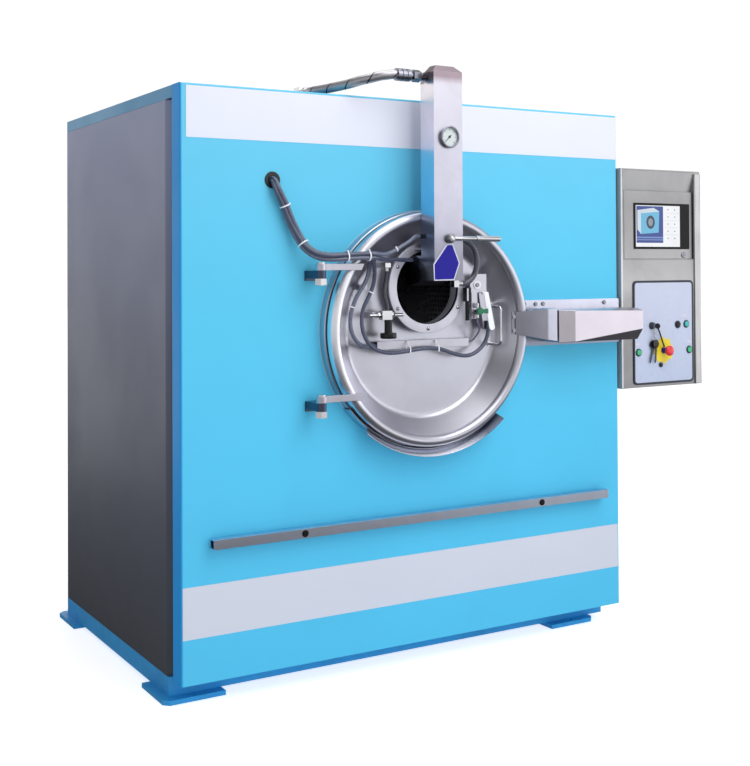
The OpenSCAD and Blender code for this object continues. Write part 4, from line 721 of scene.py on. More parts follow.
box_steel = metal("box steel", ("Z", 0, BOX), (0.3, 0.46), **UPRIGHT)
wall_steel = metal("box wall steel", (172, 171, 172), (0.4, 0.52), bare=0.3, **UPRIGHT)
# The stile's steel is a lighter copy of the box's: painted highlight.
stile_steel = metal("stile steel", (196, 195, 195), (0.28, 0.42), **UPRIGHT)
# Dark steel is the spare keys' own dark blades, and on the hinge blocks it is painted shade.
dark_steel = metal("dark steel", (78, 86, 104), (0.16, 0.32), depth=0.05)
worn_steel = metal("worn steel", (146, 148, 158), (0.14, 0.3), depth=0.05)
bright_steel = metal("bright steel", (214, 213, 216), (0.1, 0.24), depth=0.05)
dull_steel = metal("dull steel", (150, 150, 154), (0.35, 0.55), stretch=(1, 0.2, 1), depth=0.15)
print(len(bpy.data.materials), "finishes so far")

# %% [markdown]
# Rubber, plastic and small painted parts differ mostly in colour, in how fine their skin is and in
# how much clear coat they have.

# %% Castings, rubber and plastic
# Painted light: the button plate is lighter towards its top.
PLATE_LIGHTING = ((0.83, (178, 189, 215)), (1.0, (186, 196, 220)), (1.22, (194, 201, 222)))
plate_steel = painted(
    "plate with a lilac sheen", ("Z", 0, PLATE_LIGHTING), rough=(0.25, 0.35), peel=0.05, dirt=0.97)
cast_iron = painted("cast iron", (74, 78, 84), rough=(0.5, 0.7), peel=0.8, scale=420.0, dirt=0.75)
motor_grey = painted("motor paint", (70, 92, 112), rough=(0.4, 0.55), peel=0.4, dirt=0.8)
black_rubber = painted("black rubber", (30, 31, 35), rough=(0.5, 0.66), peel=0.3, scale=600.0, dirt=0.8)
seal_rubber = painted("seal rubber", (44, 48, 62), rough=(0.45, 0.6), peel=0.3, scale=500.0, dirt=0.85)
black_plastic = painted(
    "black plastic", (20, 20, 24), (0.25, 0.4), 0.25, scale=700.0, dirt=0.8, coat=0.05, shine=0.3)
green_plastic = painted("green plastic", (44, 176, 120), rough=(0.2, 0.3), peel=0.1, dirt=0.9, coat=0.4)
teal_plastic = painted("teal plastic", (40, 176, 172), rough=(0.2, 0.3), peel=0.1, dirt=0.9, coat=0.4)
red_plastic = painted("red plastic", (226, 44, 52), rough=(0.2, 0.32), peel=0.1, dirt=0.88, coat=0.5)
yellow_plastic = painted("yellow plastic", (240, 214, 36), dirt=0.9, coat=0.2)
green_paint = painted("green valve paint", (28, 110, 78), rough=(0.3, 0.45), peel=0.3, dirt=0.8)
tie_white = painted("white nylon", (236, 238, 244), rough=(0.3, 0.4), peel=0.1, dirt=0.95)
sign_blue = painted("sign blue", (38, 34, 140), rough=(0.34, 0.42), peel=0.05, dirt=0.96, shine=0.15)
seal_pale = painted("pale sealant", (150, 206, 232), rough=(0.3, 0.4), peel=0.2, scale=400.0, dirt=0.94)
sign_pale = painted("sign border", (206, 206, 220), rough=(0.25, 0.35), peel=0.05)
dial_white = painted("dial white", (236, 240, 242), rough=(0.4, 0.5), peel=0.02, dirt=0.97)
print(len(bpy.data.materials), "finishes")

# %% [markdown]
# ## Cords first
# Four cables leave the cabinet through a rubber grommet, run together in one bundle to the door and
# part there. The bundle and the tower's hose cross the hinge. Their routes are those of the imported
# model, written from the drum's axis.

# %% Routes of the cords
def from_axis(*points):
    """Points in x, out and z from those given from the drum's axis."""
    return np.array(points, float) + np.array(HUB)


bundle_route = from_axis(
    (-571, -12, 490), (-571, 8, 490), (-567, 22, 470), (-553, 24, 437), (-538, 24, 406), (-521, 26, 362),
    (-499, 34, 314), (-479, 50, 276), (-449, 70, 251), (-411, 88, 243), (-355, 98, 245), (-303, 98, 247),
    (-263, 98, 247))
hose_route = np.array([
    (720.5, 92.5, 1915), (711, 92.5, 1915), (694, 90, 1912), (670, 83, 1908), (645, 67, 1901),
    (624, 44, 1896), (607, 14, 1890), (590, -24, 1885), (574, -68, 1882), (560, -116, 1880),
    (550, -164, 1880), (550, -204.5, 1880)])
branch_up = from_axis(
    (-262.5, 105, 254), (-248, 105, 254), (-218, 98, 252), (-178, 92, 260), (-138, 89, 280), (-101, 88, 301),
    (-85, 88, 312), (-69.5, 88, 312))
branch_chute = from_axis(
    (-262.5, 105, 240), (-248, 105, 240), (-228, 94, 237), (-191, 78, 235), (-153, 61, 235), (-115, 46, 234),
    (-85, 42, 233), (-69.5, 42, 233))
branch_left = from_axis(
    (-262.5, 91, 254), (-256, 91, 254), (-247, 76, 248), (-241, 56, 230), (-240, 44, 200), (-249, 38, 164),
    (-275, 36, 124), (-296, 35, 82), (-306, 34, 37), (-300, 34, -5), (-281, 32, -34), (-251, 26, -52),
    (-221, 14, -54), (-183, 6, -53))
branch_tray = from_axis(
    (-262.5, 91, 240), (-255, 91, 240), (-244, 82, 226), (-233, 68, 206), (-226, 56, 178), (-228, 48, 147),
    (-243, 44, 110), (-261, 42, 72), (-267, 42, 32), (-261, 44, -8), (-239, 46, -46), (-207, 44, -66),
    (-163, 40, -76), (-77, 38, -72), (37, 38, -70), (97, 38, -88), (162, 38, -98), (213, 38, -76),
    (243, 38, -34), (247, 38, 20))
loop_route = from_axis(
    (71.5, 120, 301), (82, 120, 301), (100, 120, 295), (122, 120, 280), (137, 120, 256), (142, 120, 226),
    (136, 120, 194), (119, 120, 169), (99, 120, 156), (88, 120, 153), (78.5, 120, 153))
dosing_route = from_axis(
    (-171, 42, 195.5), (-171, 42, 185), (-174, 43, 170), (-181, 45, 140), (-180, 48, 104), (-174, 50, 80),
    (-174, 50, 65.5))
valve_route = from_axis(
    (177.5, 8, -53), (184, 8, -53), (196, 12, -49), (204, 22, -36), (205, 40, -18), (197, 56, 0), (183, 67, 12),
    (179, 69, 23), (179, 69, 31.5))
FINE_STEP = 4.0  # millimetres between the rings of a hose or branch
bundle_line, hose_line = through(bundle_route), through(hose_route, FINE_STEP)
up_line, chute_line, left_line, tray_line = (
    through(r, FINE_STEP) for r in (branch_up, branch_chute, branch_left, branch_tray))
loop_line, dosing_line = through(loop_route, FINE_STEP), through(dosing_route, FINE_STEP)

# %% [markdown]
# The four cables of the bundle wind slowly round its middle line and spread a little at the end,
# where each goes on as a branch. Their map's U counts the cables, so that one finish can give each
# its own shade, and V is the way along them. The hose is ribbed steel with a dark line wound round
# it, which is a saw-tooth of V and U.

# %% Finishes of the cables and the hose
def along_cord(name):
    """A blank material with the U and V of a cord."""
    material, tree, shader, place = blank(name)
    u, v, _ = split(tree, add(tree, "UVMap", uv_map="along").outputs["UV"])
    return material, tree, shader, place, u, v


def cable_finish(name, first, second, sheen):
    """Grey cable sheath: the whole part of U picks one of two shades, and fine noise along V gives a drawn
    look."""
    material, tree, shader, place, u, v = along_cord(name)
    shade = tinted(tree, linear(*first), linear(*second), rest_of(tree, whole_of(tree, u), 2.0))
    mask = shared(tree, smudge_tree, Vector=place, Scale=30.0)
    drawn = add(tree, "CombineXYZ", {"X": times(tree, u, 40.0), "Y": times(tree, v, 14.0)}).outputs[0]
    dulled = add(tree, "HueSaturation", {"Color": shade, "Value": ranged(tree, mask, 1.05, 0.88)})
    fill(tree, shader, {
        "Base Color": dulled.outputs[0],
        "Roughness": ranged(tree, mask, *sheen),
        "Normal": bumped(tree, noise(tree, drawn, 1.0, 3.0), 0.12, PEEL_DEPTH),
        "Coat Weight": 0.5,
        "Coat Roughness": 0.14,
    })
    return material


def spiral_hose(name, turns=12.0, ribs=260.0):
    """Ribbed hose: a saw-tooth of V with a share of U makes a dark wound line, turns to a metre, and waves
    along V the ribs beneath."""
    material, tree, shader, _, u, v = along_cord(name)
    wound = part_after(tree, plus(tree, times(tree, v, turns), u))
    line = ranged(tree, wound, 0.0, 1.0, 0.05, 0.08)
    ribbed = add(tree, "CombineXYZ", {"X": times(tree, v, ribs), "Y": times(tree, u, 24.0)}).outputs[0]
    shape = {"Vector": ribbed, "Scale": 1.0, "Distortion": 0.4}
    plait = add(tree, "TexWave", shape, bands_direction="DIAGONAL").outputs["Fac"]
    fill(tree, shader, {
        "Base Color": tinted(tree, linear(44, 46, 52), linear(176, 174, 178), line),
        "Roughness": ranged(tree, plait, 0.22, 0.4),
        "Normal": bumped(tree, plus(tree, times(tree, plait, 0.3), line), 0.35, 0.001),
        "Metallic": 0.85,
    })
    return material


cable_grey = cable_finish("cable sheath", (92, 98, 120), (70, 76, 98), sheen=(0.24, 0.36))
cable_dark = cable_finish("dark hose", (58, 60, 72), (46, 48, 58), sheen=(0.18, 0.3))
hose_finish = spiral_hose("wound hose")
print("cable and hose finishes are ready")

# %% The bundle
CABLES, CABLE_R, CABLE_R_GROMMET = 4, 7.0, 5.6
PRESSED, APART = 1.32, 1.2  # from the middle line to a cable's: times its radius, and more at the door
_, side, top = square_frames(bundle_line)
outward = np.array([0, 1.0, 0])
start_angle = math.atan2(outward @ top[-1], outward @ side[-1])
share = np.linspace(0, 1, len(bundle_line))
strand_r = CABLE_R_GROMMET + (CABLE_R - CABLE_R_GROMMET) * np.clip((share - 0.04) / 0.1, 0, 1)
spread = PRESSED * strand_r + APART * np.clip((share - 0.9) / 0.1, 0, 1) ** 2
strands = []
for k in range(CABLES):
    angle = start_angle + math.pi / 4 + k * math.pi / 2 + math.radians(120) * (1 - share) ** 1.5
    centre = np.stack([spread * np.cos(angle), spread * np.sin(angle)], axis=1)
    strands.append(tube_points(bundle_line, strand_r, centre=centre))
bundle = ride_as(cords("cable_bundle_strands", strands), cable_grey, None, "cable_bundle")
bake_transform(bundle)
print(len(bundle.data.polygons), "faces in the bundle")

# %% The hose and the cables on the door
hose = roped("tower_hose_wound", [hose_line], 16, hose_finish, None, "tower_hose", sides=28)
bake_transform(hose)
branch_lines = [up_line, chute_line, left_line, tray_line]
roped("door_cable_branches", branch_lines, 6.8, cable_grey, "door", "door_cables")
hoses = [tube_points(loop_line, 10, 20), tube_points(dosing_line, 7)]
ride_as(cords("door_hoses", hoses), cable_dark, "door")
roped("valve_hose", [through(valve_route, 3.0)], 3, cable_grey, "door", sides=12)
print(len(branch_lines), "branches on the door")

# %% [markdown]
# White nylon ties hold the cables. A tie is a thin band whose profile, a flat rectangle with eased
# corners, is carried once round the cable at one ring of its line, with a small square head. A torus
# would be quicker, but a real tie is flat.

# %% Shapes of ties
def band_at(line, k, radius, width=3.6, thick=1.3):
    """Table of a band round point k of a line: profile point (r, t) at angle a lies at
    p + t tangent + r (side cos a + top sin a)."""
    tangent, side, top = square_frames(line)
    profile = eased(corners_of(radius - 0.2, radius + thick, -width / 2, width / 2), 0.4, steps=3)
    a = np.linspace(0, 2 * np.pi, 32, endpoint=False)[None, :, None]
    r, t = profile[:, 0, None, None], profile[:, 1, None, None]
    return spots(line[k] + t * tangent[k] + r * (np.cos(a) * side[k] + np.sin(a) * top[k]))


def head_at(line, k, radius, toward, size=(6.0, 5.0, 4.5)):
    """Table of a tie's head: an eased square carried away from the cable along one direction."""
    tangent = square_frames(line)[0][k]
    away = np.asarray(toward, float)
    away = away - (away @ tangent) * tangent
    away /= np.linalg.norm(away)
    over = np.cross(tangent, away)
    outline = eased(corners_of(-size[0] / 2, size[0] / 2, -size[1] / 2, size[1] / 2), 1.0, steps=3)
    rows = [(0.0, 0.0), (1.0, 0.0), (1.0, size[2] - 0.8), (0.85, size[2]), (0.0, size[2])]
    flat = over * outline[:, :1] + tangent * outline[:, 1:]
    return spots(np.stack([line[k] + s * flat + away * (radius + h) for s, h in rows]))


def strap_loop(outline, x, width=4.0, thick=1.2):
    """Table of a flat strap that runs round an outline of out and z, at one x: outer and inner edges at both
    sides."""
    inner = inset(outline, thick)
    rows = [(outline, -width / 2), (outline, width / 2), (inner, width / 2), (inner, -width / 2)]
    return np.stack([spot(x + w, o[:, 0], o[:, 1]) for o, w in rows])


def at_share(line, share):
    """Number of the point that lies at a share of the way."""
    return int(round(share * (len(line) - 1)))


print("ties can be laid")

# %% Ties
BUNDLE_TIES = ((0.23, (1, 0.2, 0.6)), (0.5, (0.7, 0.2, 1)), (0.82, (0, 0.5, 1)), (0.985, (0, 0.3, 1)))
DOOR_TIES = ((up_line, 0.5, (0, 0.4, 1)), (tray_line, 0.155, (0.5, 1, 0)), (left_line, 0.5, (-1, 0.6, 0)))
TRAY_TIE_XS = (803, 918)
BUNDLE_R, BRANCH_R = 16.3, 6.9  # inside a tie
bands = [band_at(bundle_line, at_share(bundle_line, s), BUNDLE_R, width=4.6) for s, _ in BUNDLE_TIES]
heads = [head_at(bundle_line, at_share(bundle_line, s), BUNDLE_R + 0.3, way) for s, way in BUNDLE_TIES]
for name, tables, wrap in (("bundle_ties", bands, LOOP), ("bundle_tie_heads", heads, TUBE)):
    held = shaped(name, tables, tie_white, None, wrap=wrap)
    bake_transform(held)
door_bands = [band_at(line, at_share(line, s), BRANCH_R) for line, s, _ in DOOR_TIES]
door_heads = [head_at(line, at_share(line, s), BRANCH_R, way) for line, s, way in DOOR_TIES]
round_tray = eased([(19.9, 1031), (46.6, 1005), (46.6, 988.5), (31, 987.5), (19.9, 993)], 3, steps=4)
shaped("door_ties", door_bands, tie_white, "door", wrap=LOOP)
shaped("tray_ties", [strap_loop(round_tray, x) for x in TRAY_TIE_XS], tie_white, "door", wrap=LOOP)
shaped("door_tie_heads", door_heads, tie_white, "door")
print(len(bands), "ties on the bundle,", len(door_bands), "on the door")

# %% [markdown]
# ## The cabinet
# Folded sheet and welded tube have slightly soft edges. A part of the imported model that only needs
# that is copied, its loose triangles are joined, flat faces are cleared of their inner edges, and a
# Bevel modifier rounds the edges that are sharper than 28 degrees. Parts that are hidden inside, or
# that have no edge to soften, keep their own solid and only get a finish.

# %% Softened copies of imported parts
def softened(node, material, width=1.0, box=None, name=None, sharp=28):
    """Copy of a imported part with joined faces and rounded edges; a box of x, out and z keeps only what lies
    in it."""
    mesh = nodes[node].data.copy()
    bm = bmesh.new()
    bm.from_mesh(mesh)
    bmesh.ops.remove_doubles(bm, verts=bm.verts, dist=1e-5)
    if box is not None:
        ends = spots(np.array(box, float))
        low, high = ends.min(0) - 1e-4, ends.max(0) + 1e-4
        co = np.array([v.co for v in bm.verts])
        inside = np.all((co > low) & (co < high), axis=1)
        bmesh.ops.delete(bm, geom=[v for v, keep in zip(bm.verts, inside) if not keep], context="VERTS")
    bmesh.ops.dissolve_limit(bm, angle_limit=math.radians(0.4), verts=bm.verts, edges=bm.edges)
    for face in bm.faces:
        face.smooth = True
    crisp(bm, sharp)
    bm.to_mesh(mesh)
    bm.free()
    piece = bpy.data.objects.new(name or node + "_finished", mesh)
    scene_collection.objects.link(piece)
    if width:
        bevel = piece.modifiers.new("edge", "BEVEL")
        bevel.width, bevel.segments, bevel.limit_method = width / 1000, 2, "ANGLE"
        bevel.angle_limit, bevel.harden_normals = math.radians(sharp), True
    return ride_as(piece, material, body_of_node[node], *([] if box is not None and name else [node]))


# The hinge blocks are drawn in dark steel: painted shade.
SOFTENED = (
    ("base_frame", skid_blue, 2.5), ("front_panel", sky_blue, 0), ("side_panel_left", side_grey, 0.8),
    ("side_panel_right", side_grey, 0.8), ("rear_panel", side_grey, 0.8), ("top_panel", cap_blue, 1.5),
    ("bumper_rail", rail_steel, 1.6), ("hinge_blocks", dark_steel, 1.2), ("hinge_arms", level_steel, 1.2),
    ("lock_base_plate", lock_steel, 1.2), ("lock_housing", cover_steel, 1.6), ("latch_cover", latch_steel, 1.4),
    ("control_box", box_steel, 1.2), ("screen_tray", box_steel, 0.6), ("screen_door", box_steel, 0.8),
    ("tower_duct", upright_steel, 1.4), ("spray_chute", upright_steel, 1.0),
    ("door_brackets", level_steel, 0.6), ("pipe_fittings", bright_steel, 0.8), ("drive_motor", motor_grey, 1.5))
KEPT = (
    (band_white, "panel_bands"), (dish_steel, "tub_shell"), (cast_iron, "bearing_housing"),
    (bright_steel, "drum_bearings"), (black_rubber, "drive_belt"), (cast_iron, "motor_pulley"),
    (bright_steel, "hinge_pins"), (cast_iron, "drum_pulley"), (bright_steel, "lock_bolt"))
for node, material, width in SOFTENED:
    softened(node, material, width)
for material, node in KEPT:
    for held in nodes[node].material_slots:
        held.material = material
print(len(SOFTENED), "softened copies,", len(KEPT), "parts with a finish alone")

# %% [markdown]
# A brushed sheet mirrors another part of the room on each of its sides. The tower's left side is
# polished, and its colour paints the reflections of the blue panel and the white band on it, dark at
# its foot. The undersides of the lock and the latch get a darker steel as painted shade, and the
# box's left wall is dull. So these parts have a second finish, picked by where their faces look.

# %% Sides with a finish of their own
def faced(node, material, direction, least):
    """A second finish on a softened part, for the faces that look along a direction by more than a share."""
    mesh = bpy.data.objects[node + "_finished"].data
    mesh.materials.append(material)
    normals = np.zeros(3 * len(mesh.polygons), np.float32)
    mesh.polygons.foreach_get("normal", normals)
    turned_so = normals.reshape(-1, 3) @ np.array(direction, np.float32) > least
    mesh.polygons.foreach_set("material_index", turned_so.astype(np.int32))


LEFT, DOWN = (-1, 0, 0), (0, 0, -1)
for node, material, direction, least in (
        ("tower_duct", side_steel, LEFT, 0.9), ("spray_chute", side_steel, LEFT, 0.9),
        ("lock_housing", under_steel, DOWN, 0.3), ("latch_cover", under_steel, DOWN, 0.3),
        ("control_box", wall_steel, LEFT, 0.9)):
    faced(node, material, direction, least)

# %% [markdown]
# Hexagon bolts hold the rail, the lock and the hinges. One function draws the head: six flats under
# a chamfer that cuts off their corners in a circle, on a plain washer. The cables' hole is lined
# with a turned rubber ring.

# %% Bolts of the cabinet and the grommet
RAIL_BOLTS = [(404, 429), (1362, 429)]
LOCK_BOLTS = [(1313, 1001), (1313, 1141), (1365, 1141), (1399, 1141), (1691, 1141)]
HINGE_BOLTS = [(472, z - 24 + s * 9) for z in (857, 1279) for s in (-1, 1)]
shaped("rail_bolts", hex_heads(RAIL_BOLTS, (42, 47), 9), black_plastic, "cabinet", sharp=25)
heads = hex_heads(LOCK_BOLTS + HINGE_BOLTS, (8, 13), 7)
shaped("cabinet_bolts", heads, worn_steel, "cabinet", "panel_bolts", sharp=25)
grommet = eased([(14.6, -6), (20.7, -6), (20.7, 0), (27, 0), (27, 3), (14.6, 3)], 0.9, steps=4)
lathed("cable_grommet_ring", grommet, (312, 0, 1558), black_rubber, "cabinet", "cable_grommet")
print(len(heads), "bolt heads")

# %% [markdown]
# ## The tub's mouth and the drip tray
# The tub ends in a turned ring that stands out of the panel, and the door's rim closes on it. Below
# them hangs a tray of thin steel, curved with the ring, whose flared lip catches drips.

# %% Mouth ring and drip tray
mouth = [(385, -70), (570, -70), (570, -64), (402, -64), (402, 33), (385, 33)]
mouth = eased(mouth, [1, 2, 2, 2, 5, 5], steps=6)
SPUN_STEPS = 240  # points round the large turned parts
lathed("tub_mouth", mouth, HUB, dish_steel, "cabinet", "tub_front", steps=SPUN_STEPS)
bead = eased([(402.2, -1), (404.9, -1), (404.9, 0.8), (403.4, 1.6), (402.2, 1.6)], 0.5, steps=3)
lathed("tub_mouth_bead", bead, HUB, seal_pale, "cabinet", steps=SPUN_STEPS)
GUTTER_START, LIP_START, TRAY_END = 219, 231, 311.6  # degrees round the drum's axis
gutter = eased(corners_of(405, 407, 0, 50), 0.5, steps=3)
flare = eased([(405, 46), (407, 46), (429, 76), (429, 78), (427, 78), (405, 49)], 0.6, steps=3)
gutter = turning(gutter, HUB, steps=90, sweep=(GUTTER_START, TRAY_END), capped_ends=True)
flare = turning(flare, HUB, steps=80, sweep=(LIP_START, TRAY_END), capped_ends=True)
shaped("drip_tray_gutter", gutter, tray_steel, "cabinet", "drip_tray", wrap=STRIP)
shaped("drip_tray_lip", flare, tray_steel, "cabinet", wrap=STRIP)
print("tray ends at", TRAY_END, "degrees")

# %% [markdown]
# The drum is perforated sheet. Thousands of real holes would weigh the model down, so they are a
# pattern: the drum's angle and depth are counted in squares, and a dot is drawn in each.

# %% Drum
def perforated(name, holes_round=26.0, holes_deep=50.0):
    """Drum steel: a square pattern of dark holes, so many to a radian round the drum and to a metre along
    it."""
    material, tree, shader, place = blank(name)
    mapped = add(tree, "Mapping", {"Vector": place, "Location": tuple(-np.asarray(DRUM_AXIS))})
    x, y, z = split(tree, mapped.outputs[0])
    u, v = (minus(tree, part_after(tree, way), 0.5)
            for way in (times(tree, bearing_of(tree, z, x), holes_round), times(tree, y, holes_deep)))
    away = root(tree, plus(tree, times(tree, u, u), times(tree, v, v)))
    hole = ranged(tree, away, 0.0, 1.0, 0.2, 0.24)
    mask = shared(tree, smudge_tree, Vector=place, Scale=5.0)
    fill(tree, shader, {
        "Base Color": tinted(tree, linear(18, 18, 20), linear(176, 175, 180), hole),
        "Roughness": ranged(tree, mask, 0.24, 0.4),
        "Normal": bumped(tree, hole, 0.5, 0.002),
        "Metallic": 1,
    })
    return material


softened("drum", perforated("perforated drum steel"), 0, sharp=30)
print("the drum is dressed")

# %% [markdown]
# ## The door
# The door is one spun sheet. Its profile starts at the flange on the seal, rolls over the round rim,
# runs down the sloping wall to the flat floor and comes back 4 mm behind. The porthole's hole is not
# in the middle, so a third number in the profile lifts the centre of the last circles to the
# porthole's: between two circles the floor is a straight ruled surface, and still flat.

# %% Dish
RIM_R, RIM_OUT, ROLL_R = 379, 59, 19  # the middle of the rolled rim, and its own radius
FLOOR_FRONT, THICK = -9, 4  # the floor's face behind the panel's, and the sheet's thickness
PORT_LIFT = PORT_Z - AXIS_Z
half_turn = np.radians(np.linspace(0, 180, 24))


def rolled(r, angles):
    """Half circle of the rim: at angle a the point (379 + r cos a, 59 + r sin a)."""
    return np.stack([RIM_R + r * np.cos(angles), RIM_OUT + r * np.sin(angles), 0 * angles], axis=1)


floor_back = FLOOR_FRONT - THICK
wall_front = [(360, RIM_OUT, 0), (302, FLOOR_FRONT, 0), (262, FLOOR_FRONT, 0)]
wall_back = [(262, floor_back, 0), (304, floor_back, 0), (365, 57, 0)]
wall_front, wall_back = (eased(w, [0, 13, 0], steps=10, closed=False) for w in (wall_front, wall_back))
dish_profile = np.concatenate([
    [(385, 44.8, 0), (397.4, 44.8, 0), (398, 45.4, 0)], rolled(ROLL_R, half_turn), wall_front[1:],
    [(131.4, FLOOR_FRONT, PORT_LIFT), (131.4, floor_back, PORT_LIFT)], wall_back,
    rolled(ROLL_R - THICK, half_turn[::-1])[1:-1], [(394, 48.7, 0), (385, 48.7, 0)]])
lathed("door_dish_spun", dish_profile, HUB, door_steel, "door", "door_dish", steps=SPUN_STEPS)
lip_seal = eased(corners_of(385, 398, 33.3, 44.8), 2.6, steps=6)
lathed("door_lip_seal", lip_seal, HUB, seal_rubber, "door", "door_seal", steps=SPUN_STEPS)
port_corners = [(125, -15), (131, -15), (131, 25), (156, 25), (156, 33), (125, 33)]
port_profile = eased(port_corners, [0.6, 0.6, 0.6, 1.2, 1.6, 1.6], steps=5)
lathed("porthole_flange", port_profile, PORT, ring_steel, "door", "porthole_ring", steps=180)
rubber_line = eased(corners_of(124.2, 126.5, 20, 32.2), 0.6, steps=3)
lathed("porthole_gasket", rubber_line, PORT, seal_rubber, "door", steps=160)
print(len(dish_profile), "points in the dish's profile")

# %% [markdown]
# The porthole's screws have domed heads with a slot. Each half of such a head is a dome over half a
# circle: the height falls with 1 - (x^2 + y^2) / r^2, and the half is pushed off the middle by half
# the slot. The grip is a round bar with two bends, carried along its line as the cords are.

# %% Screws and grip of the door
SCREW_CIRCLE, SCREW_R, FLANGE_OUT = 140.5, 6.8, 33.0


def slotted_head(x, z, out, r=SCREW_R, h=3.4, slot=1.7, turn=0.0):
    """Two tables, one for each half of a slotted dome: the height is 0.9 + h (1 - (x^2 + y^2) / r^2)^0.7."""
    s, t = np.meshgrid(np.linspace(0, 1, 6), np.linspace(-1, 1, 13), indexing="ij")
    c, q = math.cos(math.radians(turn)), math.sin(math.radians(turn))
    y = slot / 2 + (r - slot / 2) * s
    px = t * np.sqrt(np.maximum(r**2 - y**2, 0))
    height = 0.9 + h * np.maximum(1 - (px**2 + y**2) / r**2, 0) ** 0.7
    y, px, height = (np.concatenate(pair) for pair in ((y[:1], y), (px[:1], px), (0 * height[:1], height)))
    px, y, height = (np.concatenate([v[:, :1], v, v[:, -1:]], axis=1) for v in (px, y, height))
    height[:, 0] = height[:, -1] = 0
    return [spot(x + c * px - q * side * y, out + height, z + q * px + c * side * y) for side in (-1, 1)]


domes, discs = [], []
for k, a in enumerate(np.radians(range(30, 360, 60))):
    x, z = AXIS_X + SCREW_CIRCLE * math.cos(a), PORT_Z + SCREW_CIRCLE * math.sin(a)
    domes += slotted_head(x, z, FLANGE_OUT + 0.2, turn=(37 * k + 20) % 180)
    discs.append(turning(corners_of(0, SCREW_R, FLANGE_OUT, FLANGE_OUT + 1.1), (x, 0, z), steps=32))
shaped("porthole_screw_heads", domes, bright_steel, "door", "door_screws", wrap=SHEET, sharp=30)
shaped("porthole_screw_feet", discs, dull_steel, "door", sharp=30)
ear_heads = hex_heads([(1070, 1214)], (58, 63), 7.5)
tab_heads = hex_heads([(1209, 1053), (1209, 1101)], (81.3, 86), 7)
shaped("door_bolts", ear_heads + tab_heads, worn_steel, "door", sharp=25)
GRIP_X, GRIP_LOW, GRIP_HIGH, GRIP_FOOT = 1168, 1004, 1138, -8.7
grip_route = [(GRIP_X, out, z) for out, z in (
    (GRIP_FOOT, GRIP_HIGH), (60, GRIP_HIGH), (60, GRIP_LOW), (GRIP_FOOT, GRIP_LOW))]
grip_line = through(eased(grip_route, [0, 16, 16, 0], steps=14, closed=False), 3.0)
roped("door_grip", [grip_line], 6, bright_steel, "door", "door_handle", sides=24)
foot = solid_profile(9, GRIP_FOOT, -6.4, 0.6)
feet = [turning(foot, (GRIP_X, 0, z), steps=40) for z in (GRIP_LOW, GRIP_HIGH)]
shaped("door_grip_feet", feet, bright_steel, "door")
print(len(domes) // 2, "slotted heads")

# %% [markdown]
# ## The tower
# The spray tower is a square duct of brushed sheet with a pointed cap. It carries a pressure gauge, a
# lever and a blue plate. The gauge is a deep bright case, a white dial with ticks, a needle on its
# own spindle and a bulged glass: the ticks are little blocks, laid round by turning one block.

# %% Gauge
GAUGE = (885, 160, 1709)
case = [(2.2, 0.2), (37, 0.2), (37, 12), (31, 12), (30.5, 9), (30.5, 3), (2.2, 3)]
case = eased(case, [0.3, 1, 2.4, 1.5, 0.8, 0.3, 0.3], steps=6)
lathed("gauge_bezel", case, GAUGE, worn_steel, "door", "gauge_case")
lathed("gauge_dial", corners_of(2.4, 31, 3.2, 3.6), GAUGE, dial_white, "door")


def on_dial(points, angle):
    """Points of a hand or tick that lies at an angle on the dial, turned about the spindle."""
    p = np.array(points, float)
    c, s = math.cos(math.radians(angle)), math.sin(math.radians(angle))
    return np.stack([GAUGE[0] + p[:, 0] * c - p[:, 1] * s, GAUGE[2] + p[:, 0] * s + p[:, 1] * c], axis=1)


def tick(angle, inner, half_width, outer=29):
    """Table of one tick: a thin block between two radii, closed to its middle behind and in front."""
    block = on_dial(corners_of(inner, outer, -half_width, half_width), angle)
    middle = 0 * block + block.mean(0)
    low, high = GAUGE[1] + 3.5, GAUGE[1] + 3.85
    return stacked([(middle, low), (block, low), (block, high), (middle, high)])


LONG_TICK, SHORT_TICK = (22, 0.7), (25, 0.35)  # inner end and half the width
bearings = np.linspace(225, -45, 31)
ticks = [tick(a, *(SHORT_TICK if k % 5 else LONG_TICK)) for k, a in enumerate(bearings)]
shaped("gauge_ticks", ticks, black_plastic, "door", smooth=False)
spindle = solid_profile(4.2, 4.2, 6.2, 0.5)
lathed("gauge_hand_hub", spindle, GAUGE, black_plastic, "gauge_needle", "gauge_needle", closed=False, steps=32)
blade = on_dial([(-9, -1.6), (-9, 1.6), (22, 0.7), (27, 0), (22, -0.7)], bearings[0])
blade = cut_plate(blade, (GAUGE[1] + 4.4, GAUGE[1] + 5.6), 0.2)
shaped("gauge_hand", blade, black_plastic, "gauge_needle", sharp=25)


def clear_glass(name):
    """Thin clear glass with a faint smear in its roughness."""
    material, tree, shader, place = blank(name)
    mask = shared(tree, smudge_tree, Vector=place, Scale=40.0)
    fill(tree, shader, {
        "Roughness": ranged(tree, mask, 0.02, 0.12),
        "Base Color": (0.95, 0.97, 0.97, 1),
        "Transmission Weight": 1,
        "IOR": 1.12,
    })
    return material


lens = [(0, 8.0), (30.6, 8.0), (30.6, 8.8), (22, 9.6), (12, 10.1), (0, 10.3)]
lathed("gauge_glass", lens, GAUGE, clear_glass("gauge glass"), "door", closed=False, steps=72)
print(len(ticks), "ticks")

# %% [markdown]
# The blue plate is a thin sheet with six corners and a pale border. The lever is a hub, a rod and a
# sleeve, each turned about its own line. The coupling of the hose, the elbow, the clamp and the
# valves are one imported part. Each is cut out of it by a box and gets its own finish.

